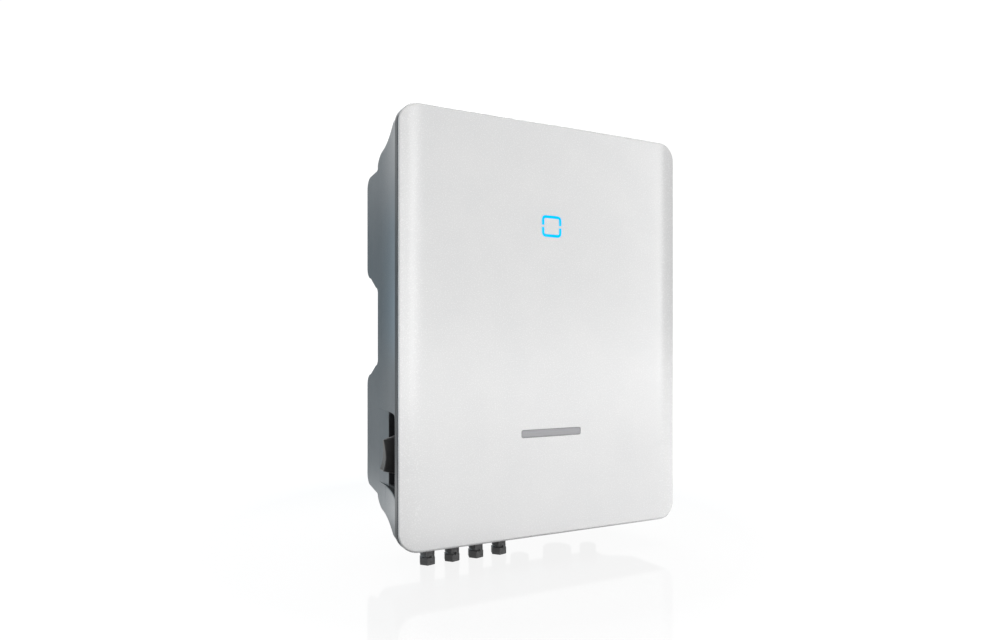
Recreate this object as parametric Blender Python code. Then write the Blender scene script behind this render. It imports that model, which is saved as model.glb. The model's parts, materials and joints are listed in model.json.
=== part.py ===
"""Wall-hung string inverter: white cover, die-cast tub, rear heat sink, DC switch and bottom outlets.

Units are metres, +Z is up and the front faces -Y. The origin is on the wall plane, at the middle height
of the object. A depth is counted from the flat front of the cover towards the wall.
"""

import math

import bmesh
import bpy
from mathutils import Matrix, Vector

MM = 0.001
GAP = 0.3 * MM

# Overall size
WIDTH = 370 * MM
HEIGHT = 480 * MM
DEPTH = 195 * MM
HALF_WIDTH = WIDTH / 2
HALF_HEIGHT = HEIGHT / 2
OUTLINE_RADIUS = 22 * MM

# White cover
COVER_DEPTH = 7.5 * MM
COVER_WALL = 2.5 * MM
SIDE_EDGE_RADIUS = 1.0 * MM
TOP_EDGE_RADIUS = 4.0 * MM
BEND_START = 154 * MM
BEND_WIDTH = 22 * MM
BEND_ANGLE = math.radians(11)

# Status light and nameplate
LIGHT_HEIGHT = 120 * MM
LIGHT_HALF_WIDTH = 13.2 * MM
LIGHT_HALF_HEIGHT = 12.6 * MM
LIGHT_RADIUS = 5 * MM
LIGHT_STROKE = 3.3 * MM
LIGHT_BREAK = 2.6 * MM
PLATE_HEIGHT = -120 * MM
PLATE_HALF_WIDTH = 40 * MM
PLATE_HALF_HEIGHT = 4.5 * MM
PLATE_THICKNESS = 0.8 * MM

# Tub: a full-size rim, then sides that flare inwards to a flat side plane
RIM_FRONT = 7.8 * MM
RIM_REAR = 16.5 * MM
RIM_WALL = 5 * MM
LEDGE_DEPTH = 14 * MM
FLARE_END = 125 * MM
SIDE_INSET = 20.3 * MM
SIDE_PLANE = HALF_WIDTH - SIDE_INSET
END_STEP_START = 50 * MM
END_STEP = 15 * MM
END_ROLL_START = 130 * MM
END_ROLL = 14.2 * MM
TUB_REAR = 148 * MM
TUB_CORNER_RADIUS = 10 * MM
CAVITY_REAR = 143 * MM
CAVITY_FLOOR = 222 * MM
EAR_THICKNESS = 6 * MM

# Inner lid
LID_FRONT = 9.5 * MM
LID_REAR = 12 * MM
LID_SCREW_INSET = 9.2 * MM
SCREW_RADIUS = 2 * MM

# Recess of the DC switch, through the flare of the -X side
RECESS_TOP = -96.6 * MM
RECESS_BOTTOM = -187 * MM
RECESS_FRONT = 25 * MM
RECESS_REAR = 135 * MM
WELL_REAR = 103.5 * MM
WELL_FLOOR = 150 * MM
WELL_WALL = 4 * MM
SWITCH_DEPTH = 66 * MM
SWITCH_HEIGHT = -143 * MM
SHAFT_RADIUS = 4 * MM

# Heat sink and wall fixing
SINK_BASE_REAR = 154 * MM
FIN_REAR = 188 * MM
FIN_COUNT = 22
FIN_THICKNESS = 2.4 * MM
SINK_HALF_WIDTH = 140 * MM
SINK_HALF_HEIGHT = 196 * MM
SHEET = 2.5 * MM
HOOK_HEIGHT = 130 * MM
HOOK_SPACING = 100 * MM
HOOK_HALF_WIDTH = 20 * MM

# Outlets under the tub
PV_COUNT = 4
PV_FIRST = -131.6 * MM
PV_PITCH = 30.8 * MM
PV_DEPTH = 60 * MM
PV_PAD = -239 * MM
PV_BOTTOM = -271 * MM
PV_THREAD_RADIUS = 6 * MM
PORT_DEPTH = 112 * MM
PORT_PAD = -230.5 * MM
PORT_PAD_SPAN = (-34 * MM, 150 * MM)
VENT_PLACE = -18 * MM
VENT_RADIUS = 4 * MM
EARTH_DEPTH = 170 * MM
EARTH_HEIGHT = -150 * MM
CAP_WALL = 2.2 * MM

# Electronics
BOARD_THICKNESS = 1.6 * MM
POST_NECK = 2.2 * MM

# Each port: its place across the front, body, barrel and bore radius, and barrel length
PORTS = {
    "ac_connector": (76 * MM, 15 * MM, 17 * MM, 13 * MM, 18 * MM),
    "communication_port": (18 * MM, 8 * MM, 10 * MM, 7 * MM, 15 * MM),
    "accessory_port": (126 * MM, 7 * MM, 9 * MM, 6 * MM, 15 * MM),
}

LEFT = Vector((-1, 0, 0))
RIGHT = Vector((1, 0, 0))
FORWARD = Vector((0, -1, 0))
BACKWARD = Vector((0, 1, 0))
DOWN = Vector((0, 0, -1))

ROUND_STEPS = 24
SMALL_STEPS = 12
CORNER_STEPS = 6

FINISHES = {
    "cover_white": ((0.78, 0.78, 0.78), 0.45, 0.0),
    "light_cyan": ((0.0, 0.62, 0.95), 0.3, 0.0),
    "plate_grey": ((0.30, 0.30, 0.31), 0.4, 0.6),
    "housing_slate": ((0.14, 0.17, 0.19), 0.5, 0.3),
    "aluminium": ((0.55, 0.56, 0.57), 0.4, 1.0),
    "steel": ((0.60, 0.60, 0.60), 0.35, 1.0),
    "dark_plastic": ((0.03, 0.03, 0.032), 0.5, 0.0),
    "connector_plastic": ((0.06, 0.06, 0.06), 0.45, 0.0),
    "rubber": ((0.02, 0.02, 0.02), 0.85, 0.0),
    "board_green": ((0.02, 0.16, 0.08), 0.5, 0.0),
    "component_dark": ((0.05, 0.05, 0.06), 0.55, 0.0),
    "copper": ((0.70, 0.34, 0.18), 0.4, 1.0),
    "brass": ((0.72, 0.55, 0.25), 0.35, 1.0),
}


def clear_scene():
    for item in list(bpy.data.objects):
        bpy.data.objects.remove(item, do_unlink=True)


def finish(name):
    """The named finish as a Principled BSDF material, made once."""
    existing = bpy.data.materials.get(name)
    if existing:
        return existing
    colour, roughness, metallic = FINISHES[name]
    material = bpy.data.materials.new(name)
    material.use_nodes = True
    shader = material.node_tree.nodes["Principled BSDF"]
    shader.inputs["Base Color"].default_value = (*colour, 1.0)
    shader.inputs["Roughness"].default_value = roughness
    shader.inputs["Metallic"].default_value = metallic
    return material


def at(x, depth, z):
    """A point from its place across the front, its depth behind the front and its height."""
    return Vector((x, depth - DEPTH, z))


def new_object(name, shape, finish_name, smooth_angle=35):
    """Turns a bmesh into a named object and closes the bmesh."""
    bmesh.ops.recalc_face_normals(shape, faces=shape.faces[:])
    mesh = bpy.data.meshes.new(name)
    shape.to_mesh(mesh)
    shape.free()
    mesh.shade_smooth()
    mesh.set_sharp_from_angle(angle=math.radians(smooth_angle))
    item = bpy.data.objects.new(name, mesh)
    bpy.context.scene.collection.objects.link(item)
    mesh.materials.append(finish(finish_name))
    return item


def combine(item, shape, operation="DIFFERENCE"):
    """Cuts a shape out of an object, or joins it on, and keeps the result as the object's mesh."""
    tool = new_object(item.name + "_tool", shape, "steel")
    modifier = item.modifiers.new("combine", "BOOLEAN")
    modifier.operation = operation
    modifier.solver = "EXACT"
    modifier.object = tool
    graph = bpy.context.evaluated_depsgraph_get()
    mesh = bpy.data.meshes.new_from_object(item.evaluated_get(graph))
    item.modifiers.clear()
    own_material = item.data.materials[0]
    item.data = mesh
    mesh.materials.clear()
    mesh.materials.append(own_material)
    mesh.shade_smooth()
    mesh.set_sharp_from_angle(angle=math.radians(35))
    bpy.data.objects.remove(tool, do_unlink=True)
    return item


def add_loft(shape, rings):
    """Skins closed rings of equal length, one after the other, and caps both ends."""
    rows = [[shape.verts.new(point) for point in ring] for ring in rings]
    count = len(rows[0])
    for row, following in zip(rows, rows[1:]):
        for i in range(count):
            j = (i + 1) % count
            shape.faces.new((row[i], row[j], following[j], following[i]))
    shape.faces.new(rows[0])
    shape.faces.new(list(reversed(rows[-1])))
    return shape


def add_box(shape, x_range, depth_range, z_range):
    corners = []
    for depth in depth_range:
        (x0, x1), (z0, z1) = x_range, z_range
        corners.append([at(x0, depth, z0), at(x1, depth, z0), at(x1, depth, z1), at(x0, depth, z1)])
    return add_loft(shape, corners)


def rounded_rectangle(half_width, half_height, radius, steps=CORNER_STEPS):
    """Outline of a rounded rectangle as (x, z, normal x, normal z), one corner after the other."""
    outline = []
    for corner in range(4):
        middle = math.radians(90 * corner)
        centre_x = (half_width - radius) * (1 if corner in (0, 3) else -1)
        centre_z = (half_height - radius) * (1 if corner in (0, 1) else -1)
        for step in range(steps + 1):
            angle = middle + math.radians(90) * step / steps
            nx = math.cos(angle)
            nz = math.sin(angle)
            outline.append((centre_x + radius * nx, centre_z + radius * nz, nx, nz))
    return outline


def add_slab(shape, half_width, half_height, radius, depth_range, centre=(0, 0), steps=CORNER_STEPS):
    """A rounded plate that faces the front."""
    outline = rounded_rectangle(half_width, half_height, radius, steps)
    cx, cz = centre
    return add_loft(shape, [[at(cx + x, d, cz + z) for x, z, _, _ in outline] for d in depth_range])


def add_turned(shape, profile, place, axis, steps=ROUND_STEPS):
    """Turns (radius, height) points about an axis. A profile that starts off the axis makes a ring."""
    turn = axis.to_track_quat("Z", "Y").to_matrix().to_4x4()
    frame = Matrix.Translation(place) @ turn
    rings = []
    for radius, height in profile:
        if radius == 0:
            rings.append([shape.verts.new(frame @ Vector((0, 0, height)))])
            continue
        ring = []
        for step in range(steps):
            angle = 2 * math.pi * step / steps
            point = Vector((radius * math.cos(angle), radius * math.sin(angle), height))
            ring.append(shape.verts.new(frame @ point))
        rings.append(ring)
    pairs = list(zip(rings, rings[1:]))
    if profile[0][0] > 0:
        pairs.append((rings[-1], rings[0]))
    for low, high in pairs:
        for i in range(steps):
            j = (i + 1) % steps
            corners = [low[i % len(low)], low[j % len(low)], high[j % len(high)], high[i % len(high)]]
            shape.faces.new(list(dict.fromkeys(corners)))
    return shape


def add_cylinder(shape, radius, place, axis, length, steps=ROUND_STEPS):
    return add_turned(shape, [(0, 0), (radius, 0), (radius, length), (0, length)], place, axis, steps)


def add_hole(shape, radius, place, axis, length, steps=SMALL_STEPS):
    """A round cutter whose flats, not its corners, stand a gap outside the radius of what goes in."""
    return add_cylinder(shape, (radius + GAP) / math.cos(math.pi / steps), place, axis, length, steps)


def add_prism(shape, outline, axis, span):
    """Extrudes (depth, z) points along X, or (x, depth) points along Z."""
    if axis == "X":
        rings = [[at(place, a, b) for a, b in outline] for place in span]
    else:
        rings = [[at(a, b, place) for a, b in outline] for place in span]
    return add_loft(shape, rings)


# ---------------------------------------------------------------- front cover


def bend_drop(x):
    """How far the cover's front falls back away from the middle: flat, an arc, then a straight run."""
    run = abs(x) - BEND_START
    if run <= 0:
        return 0.0
    radius = BEND_WIDTH / math.sin(BEND_ANGLE)
    if run <= BEND_WIDTH:
        return radius - math.sqrt(radius * radius - run * run)
    return radius * (1 - math.cos(BEND_ANGLE)) + (run - BEND_WIDTH) * math.tan(BEND_ANGLE)


def cover_solid(inset, front, rear):
    """The cover's outer form, made smaller by an inset, as a solid from its front to its rear."""
    shape = bmesh.new()
    outline = rounded_rectangle(HALF_WIDTH - inset, HALF_HEIGHT - inset, OUTLINE_RADIUS - inset)
    rings = [[at(x, rear, z) for x, z, _, _ in outline]]
    edge_steps = 3
    for step in range(edge_steps + 1):
        angle = math.radians(90) * step / edge_steps
        ring = []
        for x, z, nx, nz in outline:
            radius = SIDE_EDGE_RADIUS + (TOP_EDGE_RADIUS - SIDE_EDGE_RADIUS) * nz * nz
            back = radius * (1 - math.sin(angle))
            inward = radius * (1 - math.cos(angle))
            ring.append(at(x - nx * inward, front + back, z - nz * inward))
        rings.append(ring)
    add_loft(shape, rings)
    bend_steps = 3
    for side in (-1, 1):
        for step in range(bend_steps + 1):
            place = side * (BEND_START + BEND_WIDTH * step / bend_steps)
            everything = shape.verts[:] + shape.edges[:] + shape.faces[:]
            bmesh.ops.bisect_plane(shape, geom=everything, plane_co=(place, 0, 0), plane_no=(1, 0, 0))
    for vert in shape.verts:
        if vert.co.y < rear - DEPTH - MM:
            vert.co.y += bend_drop(vert.co.x)
    return shape


def half_ring(side, shrink):
    """One half of the status ring as (x, z) points. shrink draws every edge in, for a part inside a slot."""
    end = LIGHT_BREAK / 2 + shrink
    outer_x = LIGHT_HALF_WIDTH - shrink
    outer_z = LIGHT_HALF_HEIGHT - shrink
    inner_x = LIGHT_HALF_WIDTH - LIGHT_STROKE + shrink
    inner_z = LIGHT_HALF_HEIGHT - LIGHT_STROKE + shrink
    points = []
    outer = rounded_rectangle(outer_x, outer_z, LIGHT_RADIUS - shrink, 5)
    inner = rounded_rectangle(inner_x, inner_z, LIGHT_RADIUS - LIGHT_STROKE + shrink, 5)
    points.append((outer_x, end))
    points += [(x, z) for x, z, _, _ in outer if z > end]
    points += [(-outer_x, end), (-inner_x, end)]
    points += [(x, z) for x, z, _, _ in reversed(inner) if z > end]
    points.append((inner_x, end))
    return [(x, LIGHT_HEIGHT + side * z) for x, z in points]


def add_light_segments(shape, shrink, depth_range):
    for side in (-1, 1):
        outline = half_ring(side, shrink)
        add_loft(shape, [[at(x, d, z) for x, z in outline] for d in depth_range])
    return shape


def build_front_cover():
    cover = new_object("front_cover", cover_solid(0, 0, COVER_DEPTH), "cover_white")
    combine(cover, cover_solid(COVER_WALL, COVER_WALL, COVER_DEPTH + MM))
    combine(cover, add_light_segments(bmesh.new(), 0, (-MM, COVER_WALL + MM)))
    pocket = bmesh.new()
    half_width = PLATE_HALF_WIDTH + GAP
    half_height = PLATE_HALF_HEIGHT + GAP
    depth_range = (-MM, PLATE_THICKNESS + GAP)
    add_slab(pocket, half_width, half_height, 2.3 * MM, depth_range, (0, PLATE_HEIGHT), 3)
    combine(cover, pocket)


def build_light():
    guide = bmesh.new()
    front = COVER_WALL + GAP
    add_slab(guide, 17 * MM, 16.5 * MM, 6 * MM, (front, front + 1.6 * MM), (0, LIGHT_HEIGHT), 4)
    light = new_object("light_guide", guide, "light_cyan")
    combine(light, add_light_segments(bmesh.new(), GAP, (0, front + MM)), "UNION")
    board = bmesh.new()
    add_slab(board, 22 * MM, 19 * MM, 2 * MM, (4.9 * MM, 6.5 * MM), (0, LIGHT_HEIGHT), 2)
    new_object("indicator_board", board, "board_green")
    plate = bmesh.new()
    depth_range = (0, PLATE_THICKNESS)
    add_slab(plate, PLATE_HALF_WIDTH, PLATE_HALF_HEIGHT, 2 * MM, depth_range, (0, PLATE_HEIGHT), 3)
    new_object("nameplate", plate, "plate_grey")


# ---------------------------------------------------------------- tub


def side_inset(depth):
    """How far the tub's side lies inside the rim at a depth."""
    run = (depth - RIM_REAR) / (FLARE_END - RIM_REAR)
    run = min(max(run, 0.0), 1.0)
    return SIDE_INSET * (1 - (1 - run) ** 2)


def end_inset(depth):
    """How far the tub's top and bottom lie inside the rim: a smooth step, then a roll-off."""
    run = min(max((depth - END_STEP_START) / (FLARE_END - END_STEP_START), 0.0), 1.0)
    roll = max(depth - END_ROLL_START, 0.0) / (TUB_REAR - END_ROLL_START)
    return END_STEP * run * run * (3 - 2 * run) + END_ROLL * roll ** 2.6


def tub_ring(depth, steps=CORNER_STEPS):
    blend = min(max((depth - RIM_REAR) / (60 * MM - RIM_REAR), 0.0), 1.0)
    radius = OUTLINE_RADIUS + (TUB_CORNER_RADIUS - OUTLINE_RADIUS) * blend
    half_width = HALF_WIDTH - side_inset(depth)
    half_height = HALF_HEIGHT - end_inset(depth)
    outline = rounded_rectangle(half_width, half_height, radius, steps)
    return [at(x, depth, z) for x, z, _, _ in outline]


def cavity_ring(depth, half_width, half_height):
    outline = rounded_rectangle(half_width, half_height, 14 * MM, 3)
    return [at(x, depth, z) for x, z, _, _ in outline]


def ear_outline(low, high, low_slope, high_slope):
    """Side plate outline as (depth, z): each end leaves the tub in a hollow curve and ends in a round one."""
    front = TUB_REAR - 12 * MM
    rear = DEPTH - 0.5 * MM
    hollow = 8 * MM
    radius = 14 * MM
    steps = 4
    lower = [(front, low - hollow)]
    lower += arc(TUB_REAR + hollow, low - hollow, hollow, 180, 90, steps)
    lower += arc(rear - radius, low + low_slope + radius, radius, -90, 0, steps)
    upper = [(front, high + hollow)]
    upper += arc(TUB_REAR + hollow, high + hollow, hollow, 180, 270, steps)
    upper += arc(rear - radius, high - high_slope - radius, radius, 90, 0, steps)
    return lower + upper[::-1]


def arc(centre_a, centre_b, radius, start, end, steps):
    """Points of an arc in a plane, between two angles in degrees."""
    angles = [math.radians(start + (end - start) * step / steps) for step in range(steps + 1)]
    return [(centre_a + radius * math.cos(a), centre_b + radius * math.sin(a)) for a in angles]


def build_main_housing():
    stations = [RIM_FRONT, RIM_REAR]
    stations += [d * MM for d in (24, 36, 50, 62, 75, 90, 106, 125, 134, 140, 144.5)]
    stations.append(TUB_REAR)
    shape = add_loft(bmesh.new(), [tub_ring(depth) for depth in stations])
    housing = new_object("main_housing", shape, "housing_slate")
    hollow_out(housing)
    add_ears(housing)
    add_well_block(housing)
    add_pads(housing)
    cut_recess(housing)
    drill(housing)


def hollow_out(housing):
    """The sealed space inside, and in front of it the opening that takes the lid."""
    cavity = bmesh.new()
    sections = (
        (LEDGE_DEPTH - MM, 168 * MM, CAVITY_FLOOR),
        (50 * MM, 168 * MM, CAVITY_FLOOR),
        (90 * MM, 162 * MM, CAVITY_FLOOR),
        (110 * MM, 160 * MM, 218 * MM),
        (CAVITY_REAR, 159 * MM, 202 * MM),
    )
    add_loft(cavity, [cavity_ring(*section) for section in sections])
    combine(housing, cavity)
    opening = bmesh.new()
    half_width = HALF_WIDTH - RIM_WALL
    half_height = HALF_HEIGHT - RIM_WALL
    add_slab(opening, half_width, half_height, OUTLINE_RADIUS - RIM_WALL, (RIM_FRONT - MM, LEDGE_DEPTH))
    combine(housing, opening)


def add_ears(housing):
    """Upper and lower side plates on both sides, which leave a hand notch between them."""
    upper = ear_outline(54 * MM, 201.5 * MM, 14 * MM, 4 * MM)
    lower = ear_outline(-204 * MM, -43 * MM, 4 * MM, 12 * MM)
    for side in (-1, 1):
        span = sorted((side * SIDE_PLANE, side * (SIDE_PLANE - EAR_THICKNESS)))
        for outline in (upper, lower):
            combine(housing, add_prism(bmesh.new(), outline, "X", span), "UNION")


def add_well_block(housing):
    """The walls round the switch well, as a block inside the tub that the well is then cut into."""
    x_range = (-SIDE_PLANE + MM, -WELL_FLOOR + WELL_WALL)
    depth_range = (LEDGE_DEPTH + 2 * MM, WELL_REAR + WELL_WALL)
    z_range = (RECESS_BOTTOM - WELL_WALL, RECESS_TOP + WELL_WALL)
    combine(housing, add_box(bmesh.new(), x_range, depth_range, z_range), "UNION")


def cut_recess(housing):
    """The recess runs through the flare down to the side plane, and the well goes deeper."""
    x_outside = -HALF_WIDTH - 5 * MM
    outline = recess_outline(RECESS_REAR, 10 * MM)
    combine(housing, add_prism(bmesh.new(), outline, "X", (x_outside, -SIDE_PLANE)))
    x_range = (-SIDE_PLANE - MM / 2, -WELL_FLOOR)
    well = add_box(bmesh.new(), x_range, (RECESS_FRONT, WELL_REAR), (RECESS_BOTTOM, RECESS_TOP))
    combine(housing, well)


def drill(housing):
    """Holes for the lid screws, the outlets, the switch shaft and the earth screw."""
    holes = bmesh.new()
    for x, z in lid_screw_places():
        add_hole(holes, SCREW_RADIUS, at(x, LEDGE_DEPTH - MM, z), BACKWARD, 9 * MM, 8)
    for x in pv_places():
        add_hole(holes, PV_THREAD_RADIUS, at(x, PV_DEPTH, PV_PAD + 24 * MM), DOWN, 30 * MM)
    ports = [(x, body_radius) for x, body_radius, _, _, _ in PORTS.values()]
    for x, radius in ports + [(VENT_PLACE, VENT_RADIUS)]:
        add_hole(holes, radius, at(x, PORT_DEPTH, PORT_PAD + 25 * MM), DOWN, 40 * MM)
    shaft_start = at(-WELL_FLOOR - MM, SWITCH_DEPTH, SWITCH_HEIGHT)
    add_hole(holes, SHAFT_RADIUS, shaft_start, RIGHT, 8 * MM)
    add_hole(holes, SCREW_RADIUS, at(SIDE_PLANE + MM, EARTH_DEPTH, EARTH_HEIGHT), LEFT, 10 * MM, 8)
    combine(housing, holes)


def add_pads(housing):
    """Two flat pads for the outlets, each built up from the tub and milled flat from below."""
    last = PV_FIRST + PV_PITCH * (PV_COUNT - 1)
    margin = 14 * MM
    places = (
        ((PV_FIRST - margin, last + margin), (PV_DEPTH - margin, PV_DEPTH + margin), PV_PAD),
        (PORT_PAD_SPAN, (PORT_DEPTH - 22 * MM, PORT_DEPTH + 22 * MM), PORT_PAD),
    )
    for x_range, depth_range, bottom in places:
        pad = add_box(bmesh.new(), x_range, depth_range, (bottom, bottom + 9 * MM))
        combine(housing, pad, "UNION")
        milling = add_box(bmesh.new(), x_range, depth_range, (-HALF_HEIGHT - MM, bottom))
        combine(housing, milling)


def recess_outline(rear, radius):
    """Outline of the switch recess as (depth, z), with its two front corners rounded."""
    outline = [(rear, RECESS_TOP), (rear, RECESS_BOTTOM)]
    outline += arc(RECESS_FRONT + radius, RECESS_BOTTOM + radius, radius, 270, 180, 3)
    outline += arc(RECESS_FRONT + radius, RECESS_TOP - radius, radius, 180, 90, 3)
    return outline


# ---------------------------------------------------------------- inner lid


def lid_screw_places():
    """Six places round the lid, three on each long side."""
    x = HALF_WIDTH - LID_SCREW_INSET
    return [(side * x, z) for side in (-1, 1) for z in (-150 * MM, 0, 150 * MM)]


def build_lid():
    shape = bmesh.new()
    half_width = HALF_WIDTH - RIM_WALL - GAP
    half_height = HALF_HEIGHT - RIM_WALL - GAP
    add_slab(shape, half_width, half_height, OUTLINE_RADIUS - RIM_WALL - GAP, (LID_FRONT, LID_REAR))
    lid = new_object("front_lid", shape, "housing_slate")
    holes = bmesh.new()
    for x, z in lid_screw_places():
        add_hole(holes, SCREW_RADIUS, at(x, LID_FRONT - MM, z), BACKWARD, 5 * MM, 8)
    combine(lid, holes)

    shape = bmesh.new()
    add_slab(shape, 172 * MM, 227 * MM, 16 * MM, (LID_REAR + GAP, LEDGE_DEPTH - GAP), steps=3)
    gasket = new_object("lid_gasket", shape, "rubber")
    hollow = bmesh.new()
    add_slab(hollow, 168.5 * MM, 223.5 * MM, 12.5 * MM, (LID_REAR - MM, LEDGE_DEPTH + MM), steps=3)
    combine(gasket, hollow)

    for number, (x, z) in enumerate(lid_screw_places(), 1):
        place = at(x, LID_FRONT - GAP, z)
        add_screw("lid_screw_%d" % number, place, BACKWARD, 3.4 * MM, 1.4 * MM, 9 * MM)


def add_screw(name, place, axis, head_radius, head_height, length):
    """A screw whose head sits on place and whose shank runs along axis from there."""
    profile = [
        (0, -head_height),
        (head_radius * 0.8, -head_height),
        (head_radius, -head_height * 0.6),
        (head_radius, 0),
        (SCREW_RADIUS, 0),
        (SCREW_RADIUS, length),
        (0, length),
    ]
    new_object(name, add_turned(bmesh.new(), profile, place, axis, SMALL_STEPS), "steel")


# ---------------------------------------------------------------- heat sink and wall fixing


def build_heat_sink():
    pitch = (2 * SINK_HALF_WIDTH - FIN_THICKNESS) / (FIN_COUNT - 1)
    front = TUB_REAR + GAP
    outline = [(SINK_HALF_WIDTH, front), (-SINK_HALF_WIDTH, front)]
    for fin in range(FIN_COUNT):
        left = -SINK_HALF_WIDTH + fin * pitch
        right = left + FIN_THICKNESS
        taper = 0.4 * MM
        if fin:
            outline.append((left, SINK_BASE_REAR))
        outline += [(left + taper, FIN_REAR), (right - taper, FIN_REAR)]
        if fin < FIN_COUNT - 1:
            outline.append((right, SINK_BASE_REAR))
    shape = add_prism(bmesh.new(), outline, "Z", (-SINK_HALF_HEIGHT, SINK_HALF_HEIGHT))
    sink = new_object("heat_sink", shape, "aluminium")
    room = bmesh.new()
    x_range = (-SINK_HALF_WIDTH - MM, SINK_HALF_WIDTH + MM)
    add_box(room, x_range, (SINK_BASE_REAR, FIN_REAR + MM), (92 * MM, 168 * MM))
    combine(sink, room)
    holes = bmesh.new()
    for x, z in hanger_screw_places():
        add_hole(holes, SCREW_RADIUS, at(x, 151 * MM, z), BACKWARD, 9 * MM, 8)
    combine(sink, holes)


def hanger_screw_places():
    return [(side * 70 * MM, 112 * MM) for side in (-1, 1)]


def build_wall_fixing():
    leg_front = SINK_BASE_REAR + GAP
    leg_top = 160 * MM
    rear_leg = 182.5 * MM
    outline = [
        (leg_front, 102 * MM),
        (leg_front + SHEET, 102 * MM),
        (leg_front + SHEET, leg_top - SHEET),
        (rear_leg, leg_top - SHEET),
        (rear_leg, HOOK_HEIGHT + SHEET + GAP),
        (rear_leg + SHEET, HOOK_HEIGHT + SHEET + GAP),
        (rear_leg + SHEET, leg_top),
        (leg_front, leg_top),
    ]
    half_width = HOOK_SPACING + 26 * MM
    shape = add_prism(bmesh.new(), outline, "X", (-half_width, half_width))
    hanger = new_object("hanger_bracket", shape, "steel")
    holes = bmesh.new()
    for x, z in hanger_screw_places():
        add_hole(holes, SCREW_RADIUS, at(x, SINK_BASE_REAR - MM, z), BACKWARD, 6 * MM, 8)
    for side in (-1, 1):
        place = at(side * HOOK_SPACING, rear_leg - MM, HOOK_HEIGHT + 11 * MM)
        add_hole(holes, SCREW_RADIUS, place, BACKWARD, 6 * MM, 8)
    combine(hanger, holes)
    for number, (x, z) in enumerate(hanger_screw_places(), 1):
        place = at(x, leg_front + SHEET + GAP, z)
        name = "hanger_screw_%d" % number
        add_screw(name, place, FORWARD, 4.5 * MM, 2.6 * MM, 5 * MM)

    shape = bmesh.new()
    plate_top = 178 * MM
    plate_bottom = -70 * MM
    middle = (plate_top + plate_bottom) / 2
    half_height = (plate_top - plate_bottom) / 2
    add_slab(shape, 130 * MM, half_height, 12 * MM, (DEPTH - SHEET, DEPTH), (0, middle), 3)
    bracket = new_object("wall_bracket", shape, "steel")
    lip = rear_leg - 5 * MM
    hook = [
        (DEPTH - SHEET / 2, HOOK_HEIGHT),
        (DEPTH - SHEET / 2, HOOK_HEIGHT + SHEET),
        (lip + SHEET, HOOK_HEIGHT + SHEET),
        (lip + SHEET, HOOK_HEIGHT + 18 * MM),
        (lip, HOOK_HEIGHT + 18 * MM),
        (lip, HOOK_HEIGHT),
    ]
    for side in (-1, 1):
        x = side * HOOK_SPACING
        hook_shape = add_prism(bmesh.new(), hook, "X", (x - HOOK_HALF_WIDTH, x + HOOK_HALF_WIDTH))
        combine(bracket, hook_shape, "UNION")
    holes = bmesh.new()
    for side in (-1, 1):
        x = side * HOOK_SPACING
        add_hole(holes, SCREW_RADIUS, at(x, lip - MM, HOOK_HEIGHT + 11 * MM), BACKWARD, 6 * MM, 8)
        for z in (-45 * MM, 60 * MM, 164 * MM):
            add_cylinder(holes, 4.2 * MM, at(x, DEPTH - 5 * MM, z), BACKWARD, 7 * MM, SMALL_STEPS)
    combine(bracket, holes)
    for number, side in enumerate((-1, 1), 1):
        place = at(side * HOOK_SPACING, lip - GAP, HOOK_HEIGHT + 11 * MM)
        name = "lock_screw_%d" % number
        add_screw(name, place, BACKWARD, 4 * MM, 2.5 * MM, 11 * MM)


# ---------------------------------------------------------------- DC switch


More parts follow.
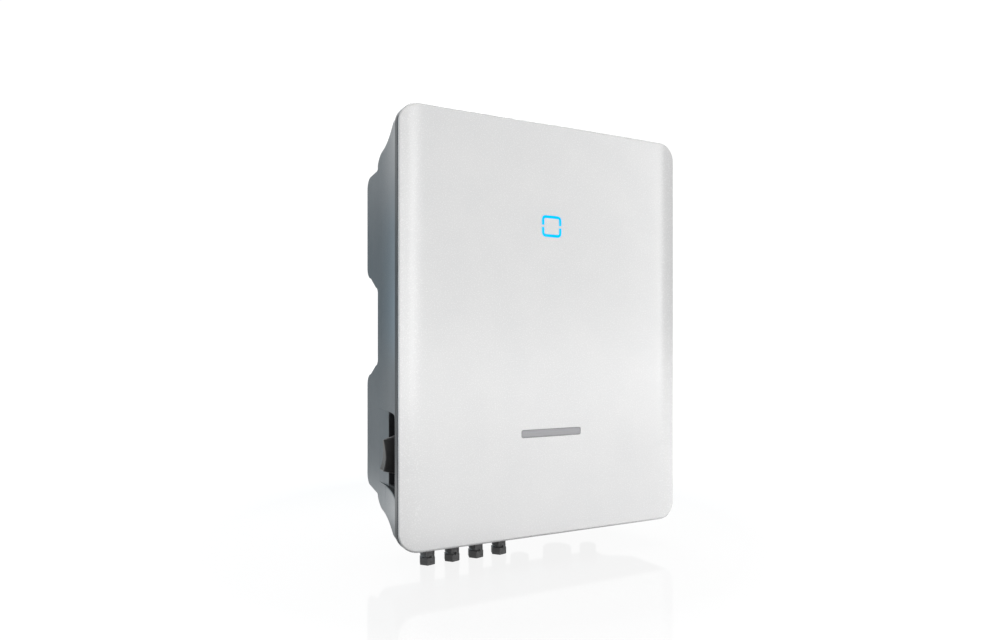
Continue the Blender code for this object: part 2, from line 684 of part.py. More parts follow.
def build_switch():
    shape = bmesh.new()
    floor = -WELL_FLOOR - GAP
    wall = 2 * MM
    depth_range = (RECESS_FRONT + GAP, WELL_REAR - GAP)
    z_range = (RECESS_BOTTOM + GAP, RECESS_TOP - GAP)
    add_box(shape, (-SIDE_PLANE, floor), depth_range, z_range)
    bezel = new_object("switch_bezel", shape, "dark_plastic")
    hollow = bmesh.new()
    inner_depths = (depth_range[0] + wall, depth_range[1] - wall)
    add_box(hollow, (-SIDE_PLANE - MM, floor - SHEET), inner_depths, (z_range[0] + wall, z_range[1] - wall))
    combine(bezel, hollow)
    hole = bmesh.new()
    centre = at(floor + MM, SWITCH_DEPTH, SWITCH_HEIGHT)
    add_cylinder(hole, 12 * MM + GAP, centre, LEFT, 6 * MM)
    combine(bezel, hole)

    seal_place = at(floor, SWITCH_DEPTH, SWITCH_HEIGHT)
    inner = SHAFT_RADIUS + GAP
    profile = [(inner, 0), (12 * MM, 0), (12 * MM, 2.2 * MM), (inner, 2.2 * MM)]
    new_object("shaft_seal", add_turned(bmesh.new(), profile, seal_place, LEFT), "rubber")

    knob_back = floor - SHEET - GAP
    disc = bmesh.new()
    disc_profile = [(0, 0), (25 * MM, 0), (25 * MM, 5 * MM), (24 * MM, 7.5 * MM), (0, 7.5 * MM)]
    add_turned(disc, disc_profile, at(knob_back, SWITCH_DEPTH, SWITCH_HEIGHT), LEFT)
    knob = new_object("switch_knob", disc, "dark_plastic")
    combine(knob, add_handle(bmesh.new(), knob_back - 5 * MM), "UNION")
    bore = bmesh.new()
    add_hole(bore, SHAFT_RADIUS, at(knob_back + MM, SWITCH_DEPTH, SWITCH_HEIGHT), LEFT, 7 * MM)
    combine(knob, bore)
    set_origin(knob, at(knob_back, SWITCH_DEPTH, SWITCH_HEIGHT))

    shape = bmesh.new()
    shaft_end = at(-102 * MM, SWITCH_DEPTH, SWITCH_HEIGHT)
    add_cylinder(shape, SHAFT_RADIUS, shaft_end, LEFT, -knob_back - 96.3 * MM, SMALL_STEPS)
    shaft = new_object("switch_shaft", shape, "steel")
    set_origin(shaft, shaft_end)

    shape = bmesh.new()
    block_x = (-WELL_FLOOR + WELL_WALL + GAP, -92 * MM)
    add_box(shape, block_x, (44 * MM, 88 * MM), (-171 * MM, -115 * MM))
    block = new_object("switch_contact_block", shape, "component_dark")
    bore = bmesh.new()
    add_hole(bore, SHAFT_RADIUS, at(-101 * MM, SWITCH_DEPTH, SWITCH_HEIGHT), LEFT, 60 * MM)
    combine(block, bore)


def handle_ring(outer, half_length, widths):
    """One section of the pointer handle: its place along X and its width at the foot, middle and tip."""
    front = []
    rear = []
    for offset, x, width in zip((-1, 0, 1), outer, widths):
        z = SWITCH_HEIGHT + offset * half_length
        front.append(at(x, SWITCH_DEPTH - width / 2, z))
        rear.append(at(x, SWITCH_DEPTH + width / 2, z))
    return front + rear[::-1]


def add_handle(shape, x_base):
    """Bar handle that narrows outwards and towards its tip, with a shallow hollow for the fingers."""
    base = handle_ring((x_base, x_base, x_base), 24 * MM, (18 * MM, 14 * MM, 10 * MM))
    outer = (-184.6 * MM, -181.4 * MM, -182.8 * MM)
    end = handle_ring(outer, 17.6 * MM, (15 * MM, 11 * MM, 5 * MM))
    return add_loft(shape, [base, end])


def set_origin(item, place):
    """Moves an object's origin to a point and leaves its shape where it is."""
    item.data.transform(Matrix.Translation(-place))
    item.location = place


# ---------------------------------------------------------------- outlets under the tub


def pv_places():
    return [PV_FIRST + PV_PITCH * number for number in range(PV_COUNT)]


def build_pv_connectors():
    total = PV_PAD - GAP - PV_BOTTOM
    for number, x in enumerate(pv_places(), 1):
        profile = [
            (0, -21 * MM),
            (PV_THREAD_RADIUS, -21 * MM),
            (PV_THREAD_RADIUS, 0),
            (9.4 * MM, 0),
            (9.4 * MM, 4 * MM),
            (7.4 * MM, 5.5 * MM),
            (7.4 * MM, 13 * MM),
            (9.2 * MM, 14.5 * MM),
            (9.2 * MM, total),
            (4.2 * MM, total),
            (4.2 * MM, total - 14 * MM),
            (0, total - 14 * MM),
        ]
        shape = add_turned(bmesh.new(), profile, at(x, PV_DEPTH, PV_PAD - GAP), DOWN, 16)
        connector = new_object("pv_connector_%d" % number, shape, "connector_plastic")
        bevel = bmesh.new()
        foot = PV_BOTTOM
        outline = [(x + 5.5 * MM, foot - MM), (x + 13 * MM, foot - MM), (x + 13 * MM, foot + 6.5 * MM)]
        depths = (PV_DEPTH - 12 * MM, PV_DEPTH + 12 * MM)
        add_loft(bevel, [[at(a, d, b) for a, b in outline] for d in depths])
        combine(connector, bevel)
        top = -CAVITY_FLOOR + GAP + 4 * MM
        shape = add_cylinder(bmesh.new(), 9.6 * MM, at(x, PV_DEPTH, top), DOWN, 4 * MM, 6)
        nut = new_object("pv_connector_nut_%d" % number, shape, "connector_plastic")
        combine(nut, add_hole(bmesh.new(), PV_THREAD_RADIUS, at(x, PV_DEPTH, top + MM), DOWN, 6 * MM))


def build_port(name, x, body_radius, barrel_radius, bore_radius, length):
    """An outlet with a square flange under the tub and a push-on dust cap over its barrel."""
    top = PORT_PAD - GAP
    flange = 3 * MM
    profile = [
        (0, -15 * MM),
        (body_radius, -15 * MM),
        (body_radius, 0),
        (barrel_radius + 4 * MM, 0),
        (barrel_radius + 4 * MM, flange),
        (barrel_radius, flange),
        (barrel_radius, length),
        (bore_radius, length),
        (bore_radius, flange + 2 * MM),
        (0, flange + 2 * MM),
    ]
    place = at(x, PORT_DEPTH, top)
    new_object(name, add_turned(bmesh.new(), profile, place, DOWN, 20), "connector_plastic")
    inner = barrel_radius + GAP
    outer = barrel_radius + CAP_WALL
    rim = flange + GAP
    roof = length + GAP
    cap_profile = [
        (inner, rim),
        (outer, rim),
        (outer, roof + 1.2 * MM),
        (outer - 1.2 * MM, roof + 2.4 * MM),
        (0, roof + 2.4 * MM),
    ]
    shape = bmesh.new()
    add_turned(shape, [(0, roof), (inner, roof)] + cap_profile, place, DOWN, 20)
    cap = new_object(name + "_cap", shape, "rubber")
    set_origin(cap, place)


def build_outlets():
    for name, sizes in PORTS.items():
        build_port(name, *sizes)
    vent = [
        (0, -12 * MM),
        (VENT_RADIUS, -12 * MM),
        (VENT_RADIUS, 0),
        (8 * MM, 0),
        (8 * MM, 4 * MM),
        (6 * MM, 6 * MM),
        (0, 6 * MM),
    ]
    shape = add_turned(bmesh.new(), vent, at(VENT_PLACE, PORT_DEPTH, PORT_PAD - GAP), DOWN, SMALL_STEPS)
    new_object("vent_valve", shape, "dark_plastic")
    place = at(SIDE_PLANE + GAP, EARTH_DEPTH, EARTH_HEIGHT)
    add_screw("earth_screw", place, LEFT, 5 * MM, 3.5 * MM, 5.4 * MM)


# ---------------------------------------------------------------- electronics


def build_block(name, place, size, depth_range, finish_name):
    """A plain block from its middle (x, z), its width and height, and the depths it spans."""
    x_range, z_range = [(middle - extent / 2, middle + extent / 2) for middle, extent in zip(place, size)]
    new_object(name, add_box(bmesh.new(), x_range, depth_range, z_range), finish_name)


def post_places():
    return [(side * 100 * MM, z) for side in (-1, 1) for z in (0, 150 * MM)]


def build_board(name, half_width, z_range, front):
    """A circuit board with a hole at each post."""
    depths = (front, front + BOARD_THICKNESS)
    shape = add_box(bmesh.new(), (-half_width, half_width), depths, z_range)
    board = new_object(name, shape, "board_green")
    holes = bmesh.new()
    for x, z in post_places():
        add_hole(holes, POST_NECK, at(x, front - MM, z), BACKWARD, 4 * MM)
    combine(board, holes)


def build_electronics():
    rear = CAVITY_REAR - GAP
    power_front = 118 * MM
    control_front = 50 * MM
    filter_front = 70 * MM
    shoulder = rear - power_front - BOARD_THICKNESS - GAP
    tip = rear - control_front + 2 * MM
    build_board("power_board", 140 * MM, (-40 * MM, 195 * MM), power_front)
    build_board("control_board", 112 * MM, (-12 * MM, 162 * MM), control_front)
    post = [(0, 0), (4 * MM, 0), (4 * MM, shoulder), (POST_NECK, shoulder), (POST_NECK, tip), (0, tip)]
    for number, (x, z) in enumerate(post_places(), 1):
        shape = add_turned(bmesh.new(), post, at(x, rear, z), FORWARD, SMALL_STEPS)
        new_object("board_post_%d" % number, shape, "brass")
    for number, side in enumerate((-1, 1), 1):
        x = side * 50 * MM
        size = (62 * MM, 48 * MM)
        build_block("power_module_%d" % number, (x, 84 * MM), size, (131 * MM, rear), "component_dark")
        can = [(0, 0), (17 * MM, 0), (17 * MM, 38 * MM), (16 * MM, 40 * MM), (0, 40 * MM)]
        shape = add_turned(bmesh.new(), can, at(x, power_front - GAP, 40 * MM), FORWARD, 16)
        new_object("link_capacitor_%d" % number, shape, "component_dark")
        place = (-45 * MM + number * 40 * MM, -82 * MM)
        build_block("boost_inductor_%d" % number, place, (36 * MM, 60 * MM), (80 * MM, rear), "aluminium")
        place = (30 * MM + number * 36 * MM, -192 * MM)
        depths = (50 * MM, filter_front - GAP)
        build_block("output_relay_%d" % number, place, (28 * MM, 28 * MM), depths, "component_dark")
    coil = [
        (14 * MM, 0),
        (32 * MM, 0),
        (34 * MM, 3 * MM),
        (34 * MM, 27 * MM),
        (32 * MM, 30 * MM),
        (14 * MM, 30 * MM),
    ]
    shape = add_turned(bmesh.new(), coil, at(105 * MM, 130 * MM, -95 * MM), FORWARD, 18)
    new_object("output_inductor", shape, "copper")
    depths = (filter_front, filter_front + BOARD_THICKNESS)
    build_block("filter_board", (95 * MM, -181 * MM), (110 * MM, 62 * MM), depths, "board_green")


clear_scene()
build_front_cover()
build_light()
build_main_housing()
build_lid()
build_heat_sink()
build_wall_fixing()
build_switch()
build_pv_connectors()
build_outlets()
build_electronics()
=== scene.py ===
"""Looks of the wall-hung string inverter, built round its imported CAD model.

Units are metres and +Z is up. The origin is on the wall plane, at the middle height of the cover.
A depth is counted from the flat front of the cover towards the wall.
"""

import json
import math

import bmesh
import bpy
from mathutils import Matrix, Vector

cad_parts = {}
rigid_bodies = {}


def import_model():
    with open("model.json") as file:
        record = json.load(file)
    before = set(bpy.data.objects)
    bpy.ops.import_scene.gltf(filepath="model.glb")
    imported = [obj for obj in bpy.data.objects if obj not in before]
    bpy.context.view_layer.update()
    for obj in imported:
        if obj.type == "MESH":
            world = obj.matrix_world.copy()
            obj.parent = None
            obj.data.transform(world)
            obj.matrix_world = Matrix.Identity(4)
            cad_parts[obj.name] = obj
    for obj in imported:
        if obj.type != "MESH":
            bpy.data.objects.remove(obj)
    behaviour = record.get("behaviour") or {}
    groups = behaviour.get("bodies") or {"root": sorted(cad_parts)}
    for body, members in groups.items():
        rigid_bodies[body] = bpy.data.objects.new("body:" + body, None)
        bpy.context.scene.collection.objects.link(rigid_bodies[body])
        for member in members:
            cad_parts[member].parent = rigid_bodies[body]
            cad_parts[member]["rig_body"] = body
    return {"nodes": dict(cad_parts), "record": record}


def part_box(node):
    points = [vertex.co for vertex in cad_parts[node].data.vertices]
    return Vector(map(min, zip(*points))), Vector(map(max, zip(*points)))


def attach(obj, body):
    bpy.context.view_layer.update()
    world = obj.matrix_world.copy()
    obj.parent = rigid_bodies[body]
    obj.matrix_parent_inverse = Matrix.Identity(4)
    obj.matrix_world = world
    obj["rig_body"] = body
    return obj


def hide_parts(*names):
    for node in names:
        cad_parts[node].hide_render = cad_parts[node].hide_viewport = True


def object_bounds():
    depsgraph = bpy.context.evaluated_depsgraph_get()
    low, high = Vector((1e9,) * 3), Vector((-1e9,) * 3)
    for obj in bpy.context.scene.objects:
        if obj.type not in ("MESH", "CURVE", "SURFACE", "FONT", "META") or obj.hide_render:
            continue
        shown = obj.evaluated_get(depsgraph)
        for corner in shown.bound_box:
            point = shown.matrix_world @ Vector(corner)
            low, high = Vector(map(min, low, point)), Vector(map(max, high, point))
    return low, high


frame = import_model()
cad_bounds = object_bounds()

MM = 0.001

# Main places, read from the CAD nodes
COVER_LOW, COVER_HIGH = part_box("front_cover")
FRONT = COVER_LOW.y
HALF_WIDTH = COVER_HIGH.x
HALF_HEIGHT = COVER_HIGH.z
COVER_REAR = COVER_HIGH.y - FRONT
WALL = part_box("wall_bracket")[1].y - FRONT
FLOOR_LEVEL = cad_bounds[0].z - 0.4 * MM
OUTLINE_RADIUS = 22 * MM

# White cover
COVER_WALL = 2.5 * MM
SKIRT_REAR = COVER_REAR - 1.9 * MM
SIDE_EDGE_ROUND = (1.2 * MM, 1.2 * MM)
TOP_EDGE_ROUND = (3.4 * MM, 5.2 * MM)
BEND_START = 154 * MM
BEND_WIDTH = 22 * MM
BEND_ANGLE = math.radians(11)

# Status light
LIGHT_RADIUS = 5 * MM
LIGHT_STROKE = 3.3 * MM
LIGHT_BREAK = 2.6 * MM
LIGHT_HALF_WIDTH = 13.2 * MM
LIGHT_HALF_HEIGHT = 12.6 * MM
LIGHT_GAP = 0.12 * MM
LIGHT_EDGE = 0.12 * MM

# Tub
RIM_FRONT = 7.8 * MM
RIM_REAR = 16.5 * MM
LEDGE_DEPTH = 14 * MM
RIM_WALL = 5 * MM
FLARE_END = 141 * MM
SIDE_INSET = 20.3 * MM
SIDE_PLANE = HALF_WIDTH - SIDE_INSET
END_STEP_START = 50 * MM
END_STEP = 15 * MM
END_ROLL_START = 130 * MM
END_ROLL = 11 * MM
TUB_REAR = 148 * MM
TUB_REAR_ROUND = 1.6 * MM
TUB_CORNER_RADIUS = 10 * MM
CORNER_BLEND_END = 60 * MM
EAR_THICKNESS = 6 * MM
EAR_RADIUS = 15 * MM
EAR_EDGE = 1.6 * MM

# Recess of the DC switch
RECESS_TOP = -96.6 * MM
RECESS_BOTTOM = -187 * MM
RECESS_FRONT = 25 * MM
RECESS_REAR = 139.5 * MM
WELL_REAR = 106.5 * MM
WELL_FLOOR = 150 * MM
WELL_WALL = 4 * MM
RECESS_SINK = 1.4 * MM
RECESS_RADIUS = 10 * MM
MOUTH_END = 112 * MM
MOUTH_ROUND = 1.1 * MM
SHAFT_HOLE = 4.3 * MM

# Outlets: how far their stems reach up into the tub, and their holes
PV_STEM = 21 * MM
PORT_STEM = 15 * MM
VENT_STEM = 12 * MM
PV_HOLE = 6.3 * MM
HOLES = {
    "ac_connector": 15.3 * MM,
    "communication_port": 8.3 * MM,
    "accessory_port": 7.3 * MM,
    "vent_valve": 4.3 * MM,
}
# Radii of each port's body, barrel and bore
PORT_SIZES = {
    "ac_connector": (15 * MM, 17 * MM, 13 * MM),
    "communication_port": (8 * MM, 10 * MM, 7 * MM),
    "accessory_port": (7 * MM, 9 * MM, 6 * MM),
}
CAP_RIBS = 28
VENT_RIBS = 16
STEPS_PER_RIB = 6

# Heat sink, brackets and screws
SINK_BASE_REAR = 154 * MM
FIN_REAR = 188 * MM
FIN_COUNT = 22
FIN_THICKNESS = 2.4 * MM
HANGER_ROOM = (92 * MM, 168 * MM)
SHEET = 2.5 * MM
HOOK_BASE = 130 * MM
HOOK_HEIGHT = 18 * MM
SCREW_HOLE = 2.3 * MM
WALL_HOLE = 4.2 * MM
WALL_HOLE_HEIGHTS = (-45 * MM, 60 * MM, 164 * MM)

# Camera and studio
CAMERA_PLACE = (-0.41497, -0.88265, -0.02227)
CAMERA_TURN = math.radians(26.55)
CAMERA_LENS = 24.87
CAMERA_RISE = 0.0287
FLOOR_REACH = 30
ROOM_LIGHT = (0.14, 0.14, 0.14, 1)
REAR_GLOW = (0.52, 0.72, 0.86, 1)
REAR_GLOW_TURN = math.radians(22)
WHITE = (1, 1, 1, 1)

GAP = 0.3 * MM
SHARP_ANGLE = math.radians(35)
LEFT = Vector((-1, 0, 0))
RIGHT = Vector((1, 0, 0))
FORWARD = Vector((0, -1, 0))
BACKWARD = Vector((0, 1, 0))
DOWN = Vector((0, 0, -1))


# ---------------------------------------------------------------- materials


class Nodes:
    """A node tree under construction."""

    def __init__(self, tree):
        self.tree = tree

    def put(self, socket, value):
        """Gives a socket a plain value, or links the output that feeds it."""
        if isinstance(value, bpy.types.NodeSocket):
            self.tree.links.new(value, socket)
        else:
            socket.default_value = value

    def add(self, kind, inputs, **settings):
        node = self.tree.nodes.new("ShaderNode" + kind)
        for key, value in settings.items():
            setattr(node, key, value)
        for key, value in inputs.items():
            self.put(node.inputs[key], value)
        return node

    def calculate(self, operation, first, second):
        return self.add("Math", {0: first, 1: second}, operation=operation).outputs["Value"]

    def along(self, place, axis):
        """How far a place or a direction reaches along an axis."""
        return self.add("VectorMath", {0: place, 1: axis}, operation="DOT_PRODUCT").outputs["Value"]

    def span(self, factor, low, high, start=0.3, end=0.7, **settings):
        """Maps a factor, mostly between start and end, to values between low and high."""
        inputs = {"Value": factor, "From Min": start, "From Max": end, "To Min": low, "To Max": high}
        return self.add("MapRange", inputs, **settings).outputs["Result"]

    def mixed(self, share, first, second):
        return self.add("MixRGB", {"Fac": share, "Color1": first, "Color2": second}).outputs["Color"]


class Look(Nodes):
    """A procedural material under construction, round its Principled shader."""

    def __init__(self, name, metallic=0.0):
        self.material = bpy.data.materials.new(name)
        self.material.use_nodes = True
        super().__init__(self.material.node_tree)
        self.shader = self.tree.nodes["Principled BSDF"]
        self.set("Metallic", metallic)
        self.place = self.add("TexCoord", {}).outputs["Object"]
        self.normal = None

    def set(self, name, value):
        self.put(self.shader.inputs[name], value)

    def stretched(self, stretch):
        return self.add("Mapping", {"Vector": self.place, "Scale": stretch}).outputs["Vector"]

    def noise(self, size, detail=3.0, stretch=(1, 1, 1)):
        """Noise with features about size across, squeezed along the axes whose stretch is above 1."""
        inputs = {"Vector": self.stretched(stretch), "Scale": 1 / size, "Detail": detail, "Roughness": 0.5}
        return self.add("TexNoise", inputs).outputs["Fac"]

    def cells(self, size, stretch=(1, 1, 1)):
        """A flat random value for each cell about size across."""
        inputs = {"Vector": self.stretched(stretch), "Scale": 1 / size}
        colour = self.add("TexVoronoi", inputs).outputs["Color"]
        return self.add("SeparateColor", {"Color": colour}).outputs["Red"]

    def waves(self, size, direction, distortion=0.0):
        """Parallel bands with a period of size along one axis."""
        scale = math.tau / size / 20
        inputs = {"Vector": self.place, "Scale": scale, "Distortion": distortion, "Detail": 1.0}
        return self.add("TexWave", inputs, bands_direction=direction).outputs["Fac"]

    def colours(self, factor, *stops):
        """Runs the base colour through stops of (position, (red, green, blue))."""
        ramp = self.add("ValToRGB", {"Fac": factor})
        elements = ramp.color_ramp.elements
        while len(elements) < len(stops):
            elements.new(0.5)
        for element, (position, colour) in zip(elements, stops):
            element.position = position
            element.color = (*colour, 1.0)
        self.set("Base Color", ramp.outputs["Color"])
        return ramp.outputs["Color"]

    def roughness(self, factor, low, high):
        self.set("Roughness", self.span(factor, low, high))

    def bump(self, height, depth):
        """Relief of a given depth in metres, on top of any relief added before."""
        inputs = {"Height": height, "Distance": depth, "Strength": 1.0}
        if self.normal:
            inputs["Normal"] = self.normal
        self.normal = self.add("Bump", inputs).outputs["Normal"]
        self.set("Normal", self.normal)


def cover_look():
    """Satin white powder coat: a fine orange-peel grain and very slight clouding."""
    look = Look("white_powder_coat")
    clouding = look.noise(45 * MM, 4)
    grain = look.noise(1.3 * MM, 2)
    look.colours(clouding, (0.3, (0.775, 0.777, 0.780)), (0.7, (0.800, 0.800, 0.800)))
    look.roughness(grain, 0.23, 0.29)
    look.bump(grain, 0.018 * MM)
    look.bump(look.noise(9 * MM, 2), 0.03 * MM)
    look.set("Specular IOR Level", 0.9)
    return look


def housing_look():
    """Slate paint on an aluminium casting: a sandy grain, slow waves of the casting, and painted shade that
    darkens the rim band.
    """
    look = Look("slate_casting_paint", metallic=0.25)
    grain = look.noise(0.9 * MM, 3)
    cast = look.noise(14 * MM, 3)
    shades = (0.3, (0.115, 0.134, 0.148)), (0.7, (0.143, 0.163, 0.176))
    paint = look.colours(look.noise(60 * MM, 5), *shades)
    # Painted shade: the rim band in front of the flare is mixed most of the way towards near black, in place
    # of the shade that falls on it.
    depth = look.add("SeparateXYZ", {"Vector": look.place}).outputs["Y"]
    rim_end = FRONT + RIM_REAR
    rim = look.span(depth, 0.75, 0.0, rim_end, rim_end + 0.5 * MM)
    look.set("Base Color", look.mixed(rim, paint, (0.02, 0.022, 0.024, 1)))
    look.roughness(grain, 0.30, 0.42)
    look.bump(grain, 0.05 * MM)
    look.bump(cast, 0.08 * MM)
    return look


def light_look():
    """Lit cyan light guide with the faint unevenness of the lamps behind it."""
    look = Look("cyan_light_guide")
    cloud = look.noise(7 * MM, 2)
    colour = look.colours(cloud, (0.3, (0.0, 0.34, 0.66)), (0.7, (0.0, 0.38, 0.73)))
    look.set("Emission Color", colour)
    look.set("Emission Strength", 1.0)
    look.set("Specular IOR Level", 0.0)
    look.roughness(cloud, 0.25, 0.35)
    return look


def plate_look():
    """Brushed grey metal of the blank nameplate, brushed along its length."""
    look = Look("brushed_plate", metallic=0.8)
    brushing = look.noise(12 * MM, 4, (1, 1, 60))
    look.colours(brushing, (0.3, (0.13, 0.13, 0.135)), (0.7, (0.18, 0.18, 0.185)))
    look.roughness(brushing, 0.32, 0.5)
    look.bump(brushing, 0.02 * MM)
    return look


def sink_look():
    """Bare extruded aluminium: long die lines, a slight haze and fine pits."""
    look = Look("extruded_aluminium", metallic=1.0)
    lines = look.noise(30 * MM, 4, (40, 40, 1))
    haze = look.noise(35 * MM, 4)
    look.colours(haze, (0.3, (0.50, 0.51, 0.53)), (0.7, (0.62, 0.63, 0.64)))
    look.roughness(lines, 0.32, 0.52)
    look.bump(lines, 0.03 * MM)
    look.bump(look.noise(0.8 * MM, 2), 0.02 * MM)
    return look


def zinc_look():
    """Zinc-plated sheet steel with faint spangles and rolling marks."""
    look = Look("zinc_plated_steel", metallic=1.0)
    spangle = look.cells(5 * MM, (1, 1, 0.6))
    look.colours(spangle, (0.0, (0.52, 0.53, 0.54)), (0.5, (0.58, 0.59, 0.60)), (1.0, (0.66, 0.66, 0.66)))
    look.roughness(look.noise(6 * MM, 4), 0.30, 0.42)
    look.bump(look.noise(40 * MM, 2, (1, 1, 30)), 0.006 * MM)
    return look


def steel_look():
    """Stainless screws and shaft: fine mottling and small handling marks."""
    look = Look("stainless_steel", metallic=1.0)
    mottle = look.noise(0.5 * MM, 2)
    look.colours(mottle, (0.3, (0.52, 0.52, 0.52)), (0.7, (0.68, 0.68, 0.67)))
    look.roughness(look.noise(2 * MM, 3), 0.2, 0.38)
    look.bump(mottle, 0.01 * MM)
    return look


# Dark and light colour, size and depth of the grain in millimetres, lowest and highest roughness
PLASTICS = {
    "switch_black_plastic": ((0.022, 0.022, 0.023), (0.032, 0.031, 0.031), 0.7, 0.03, 0.36, 0.5),
    # The handle's outer face: a lighter grey that is a painted highlight.
    "switch_face_painted_highlight": ((0.085, 0.080, 0.076), (0.115, 0.108, 0.104), 0.7, 0.03, 0.3, 0.42),
    "well_black_plastic": ((0.012, 0.015, 0.018), (0.020, 0.023, 0.027), 1.1, 0.05, 0.5, 0.68),
    "connector_polyamide": ((0.098, 0.098, 0.099), (0.128, 0.128, 0.128), 0.8, 0.04, 0.34, 0.5),
    "black_rubber": ((0.016, 0.016, 0.016), (0.03, 0.03, 0.03), 0.5, 0.04, 0.7, 0.9),
    "dark_encapsulation": ((0.03, 0.03, 0.034), (0.05, 0.05, 0.055), 0.6, 0.04, 0.45, 0.65),
}


def plastic_look(name):
    """Moulded plastic with a spark-eroded grain and slight shade changes in the moulding."""
    dark, light, grain_size, grain_depth, low, high = PLASTICS[name]
    look = Look(name)
    grain = look.noise(grain_size * MM, 3)
    look.colours(look.noise(11 * MM, 4), (0.3, dark), (0.7, light))
    look.roughness(grain, low, high)
    look.bump(grain, grain_depth * MM)
    return look


def rubber_look():
    """Matt black rubber with a faint bloom."""
    look = plastic_look("black_rubber")
    look.set("Sheen Weight", 0.15)
    return look


def board_look():
    """Green solder mask over fine copper tracks."""
    look = Look("solder_mask")
    across = look.waves(2.4 * MM, "X", 1.5)
    down = look.waves(3.1 * MM, "Z", 1.5)
    areas = look.cells(17 * MM)
    chosen = look.add("Mix", {"Factor": areas, "A": across, "B": down}).outputs["Result"]
    look.colours(chosen, (0.45, (0.008, 0.085, 0.035)), (0.62, (0.02, 0.17, 0.075)))
    look.roughness(look.noise(3 * MM), 0.22, 0.34)
    look.bump(chosen, 0.03 * MM)
    return look


def winding_look():
    """Enamelled copper wire wound round the choke."""
    look = Look("enamelled_copper", metallic=0.9)
    turns = look.waves(1.8 * MM, "Y", 0.4)
    look.colours(turns, (0.2, (0.30, 0.11, 0.05)), (0.8, (0.72, 0.34, 0.17)))
    look.roughness(look.noise(2 * MM), 0.2, 0.35)
    look.bump(turns, 0.4 * MM)
    return look


def brass_look():
    """Turned brass posts with tool marks round them."""
    look = Look("turned_brass", metallic=1.0)
    rings = look.waves(0.5 * MM, "Y")
    look.colours(look.noise(5 * MM), (0.3, (0.62, 0.46, 0.20)), (0.7, (0.78, 0.61, 0.30)))
    look.roughness(rings, 0.22, 0.36)
    look.bump(rings, 0.02 * MM)
    return look


LOOKS = {
    "cover_white": cover_look(),
    "light_cyan": light_look(),
    "plate_grey": plate_look(),
    "housing_slate": housing_look(),
    "aluminium": sink_look(),
    "steel": steel_look(),
    "dark_plastic": plastic_look("switch_black_plastic"),
    "connector_plastic": plastic_look("connector_polyamide"),
    "rubber": rubber_look(),
    "board_green": board_look(),
    "component_dark": plastic_look("dark_encapsulation"),
    "copper": winding_look(),
    "brass": brass_look(),
}
LIT_HANDLE_FACE_LOOK = plastic_look("switch_face_painted_highlight")
WELL_LOOK = plastic_look("well_black_plastic")
ZINC_LOOK = zinc_look()
SLOTS = {part["node"]: part["material_slot"] for part in frame["record"]["subparts"]}


def paint_cad_nodes():
    """Gives each CAD node the look of its slot, in case it stays on show."""
    for name, node in frame["nodes"].items():
        material = LOOKS[SLOTS[name]].material
        for material_slot in node.material_slots:
            material_slot.material = material


# ---------------------------------------------------------------- shapes


def at(x, depth, z):
    """A point from its place across the front, its depth behind the front and its height."""
    return Vector((x, FRONT + depth, z))


def middle(node):
    """Centre of a CAD node."""
    low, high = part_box(node)
    return (low + high) / 2


def shade(mesh):
    mesh.shade_smooth()
    mesh.set_sharp_from_angle(angle=SHARP_ANGLE)


def new_object(name, shape, look):
    """Turns a bmesh into a named object and closes the bmesh."""
    bmesh.ops.recalc_face_normals(shape, faces=shape.faces[:])
    mesh = bpy.data.meshes.new(name)
    shape.to_mesh(mesh)
    shape.free()
    shade(mesh)
    mesh.materials.append(look.material)
    item = bpy.data.objects.new(name, mesh)
    bpy.context.scene.collection.objects.link(item)
    return item


def apply_modifiers(item):
    """Keeps the result of an object's modifiers as its mesh."""
    graph = bpy.context.evaluated_depsgraph_get()
    mesh = bpy.data.meshes.new_from_object(item.evaluated_get(graph))
    item.modifiers.clear()
    material = item.data.materials[0]
    item.data = mesh
    mesh.materials.clear()
    mesh.materials.append(material)
    shade(mesh)


def combine(item, shape, operation="DIFFERENCE"):
    """Cuts a shape out of an object, or joins it on."""
    tool = new_object(item.name + "_tool", shape, ZINC_LOOK)
    modifier = item.modifiers.new("combine", "BOOLEAN")
    modifier.operation = operation
    modifier.solver = "MANIFOLD"
    modifier.object = tool
    apply_modifiers(item)
    bpy.data.objects.remove(tool, do_unlink=True)


def soften(item, width, angle):
    """Rounds the edges that are sharper than an angle in degrees."""
    bevel = item.modifiers.new("edges", "BEVEL")
    bevel.width = width
    bevel.segments = 2
    bevel.limit_method = "ANGLE"
    bevel.angle_limit = math.radians(angle)
    bevel.use_clamp_overlap = True


def stand_for(item, *nodes):
    """Evens a finished piece's shading, and puts it in the place of CAD nodes.

    It gets the first node's body.
    """
    weighted = item.modifiers.new("shading", "WEIGHTED_NORMAL")
    weighted.weight = 100
    weighted.keep_sharp = True
    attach(item, frame["nodes"][nodes[0]]["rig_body"])
    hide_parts(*nodes)


def skin(shape, rings):
    """Joins closed rings of equal length, one after the other, and gives back their vertices."""
    rows = [[shape.verts.new(point) for point in ring] for ring in rings]
    count = len(rows[0])
    for row, following in zip(rows, rows[1:]):
        for i in range(count):
            j = (i + 1) % count
            shape.faces.new((row[i], row[j], following[j], following[i]))
    return rows


def add_loft(rings):
    """A solid skinned over closed rings, with a cap at both ends."""
    shape = bmesh.new()
    rows = skin(shape, rings)
    shape.faces.new(rows[0])
    shape.faces.new(list(reversed(rows[-1])))
    return shape


def add_extrusion(outline, depths):
    """A solid with the same (x, z) outline at each depth."""
    return add_loft([[at(x, depth, z) for x, z in outline] for depth in depths])


def add_box(x_range, depth_range, z_range):
    (x0, x1), (z0, z1) = x_range, z_range
    corners = [(x0, z0), (x1, z0), (x1, z1), (x0, z1)]
    return add_extrusion(corners, depth_range)


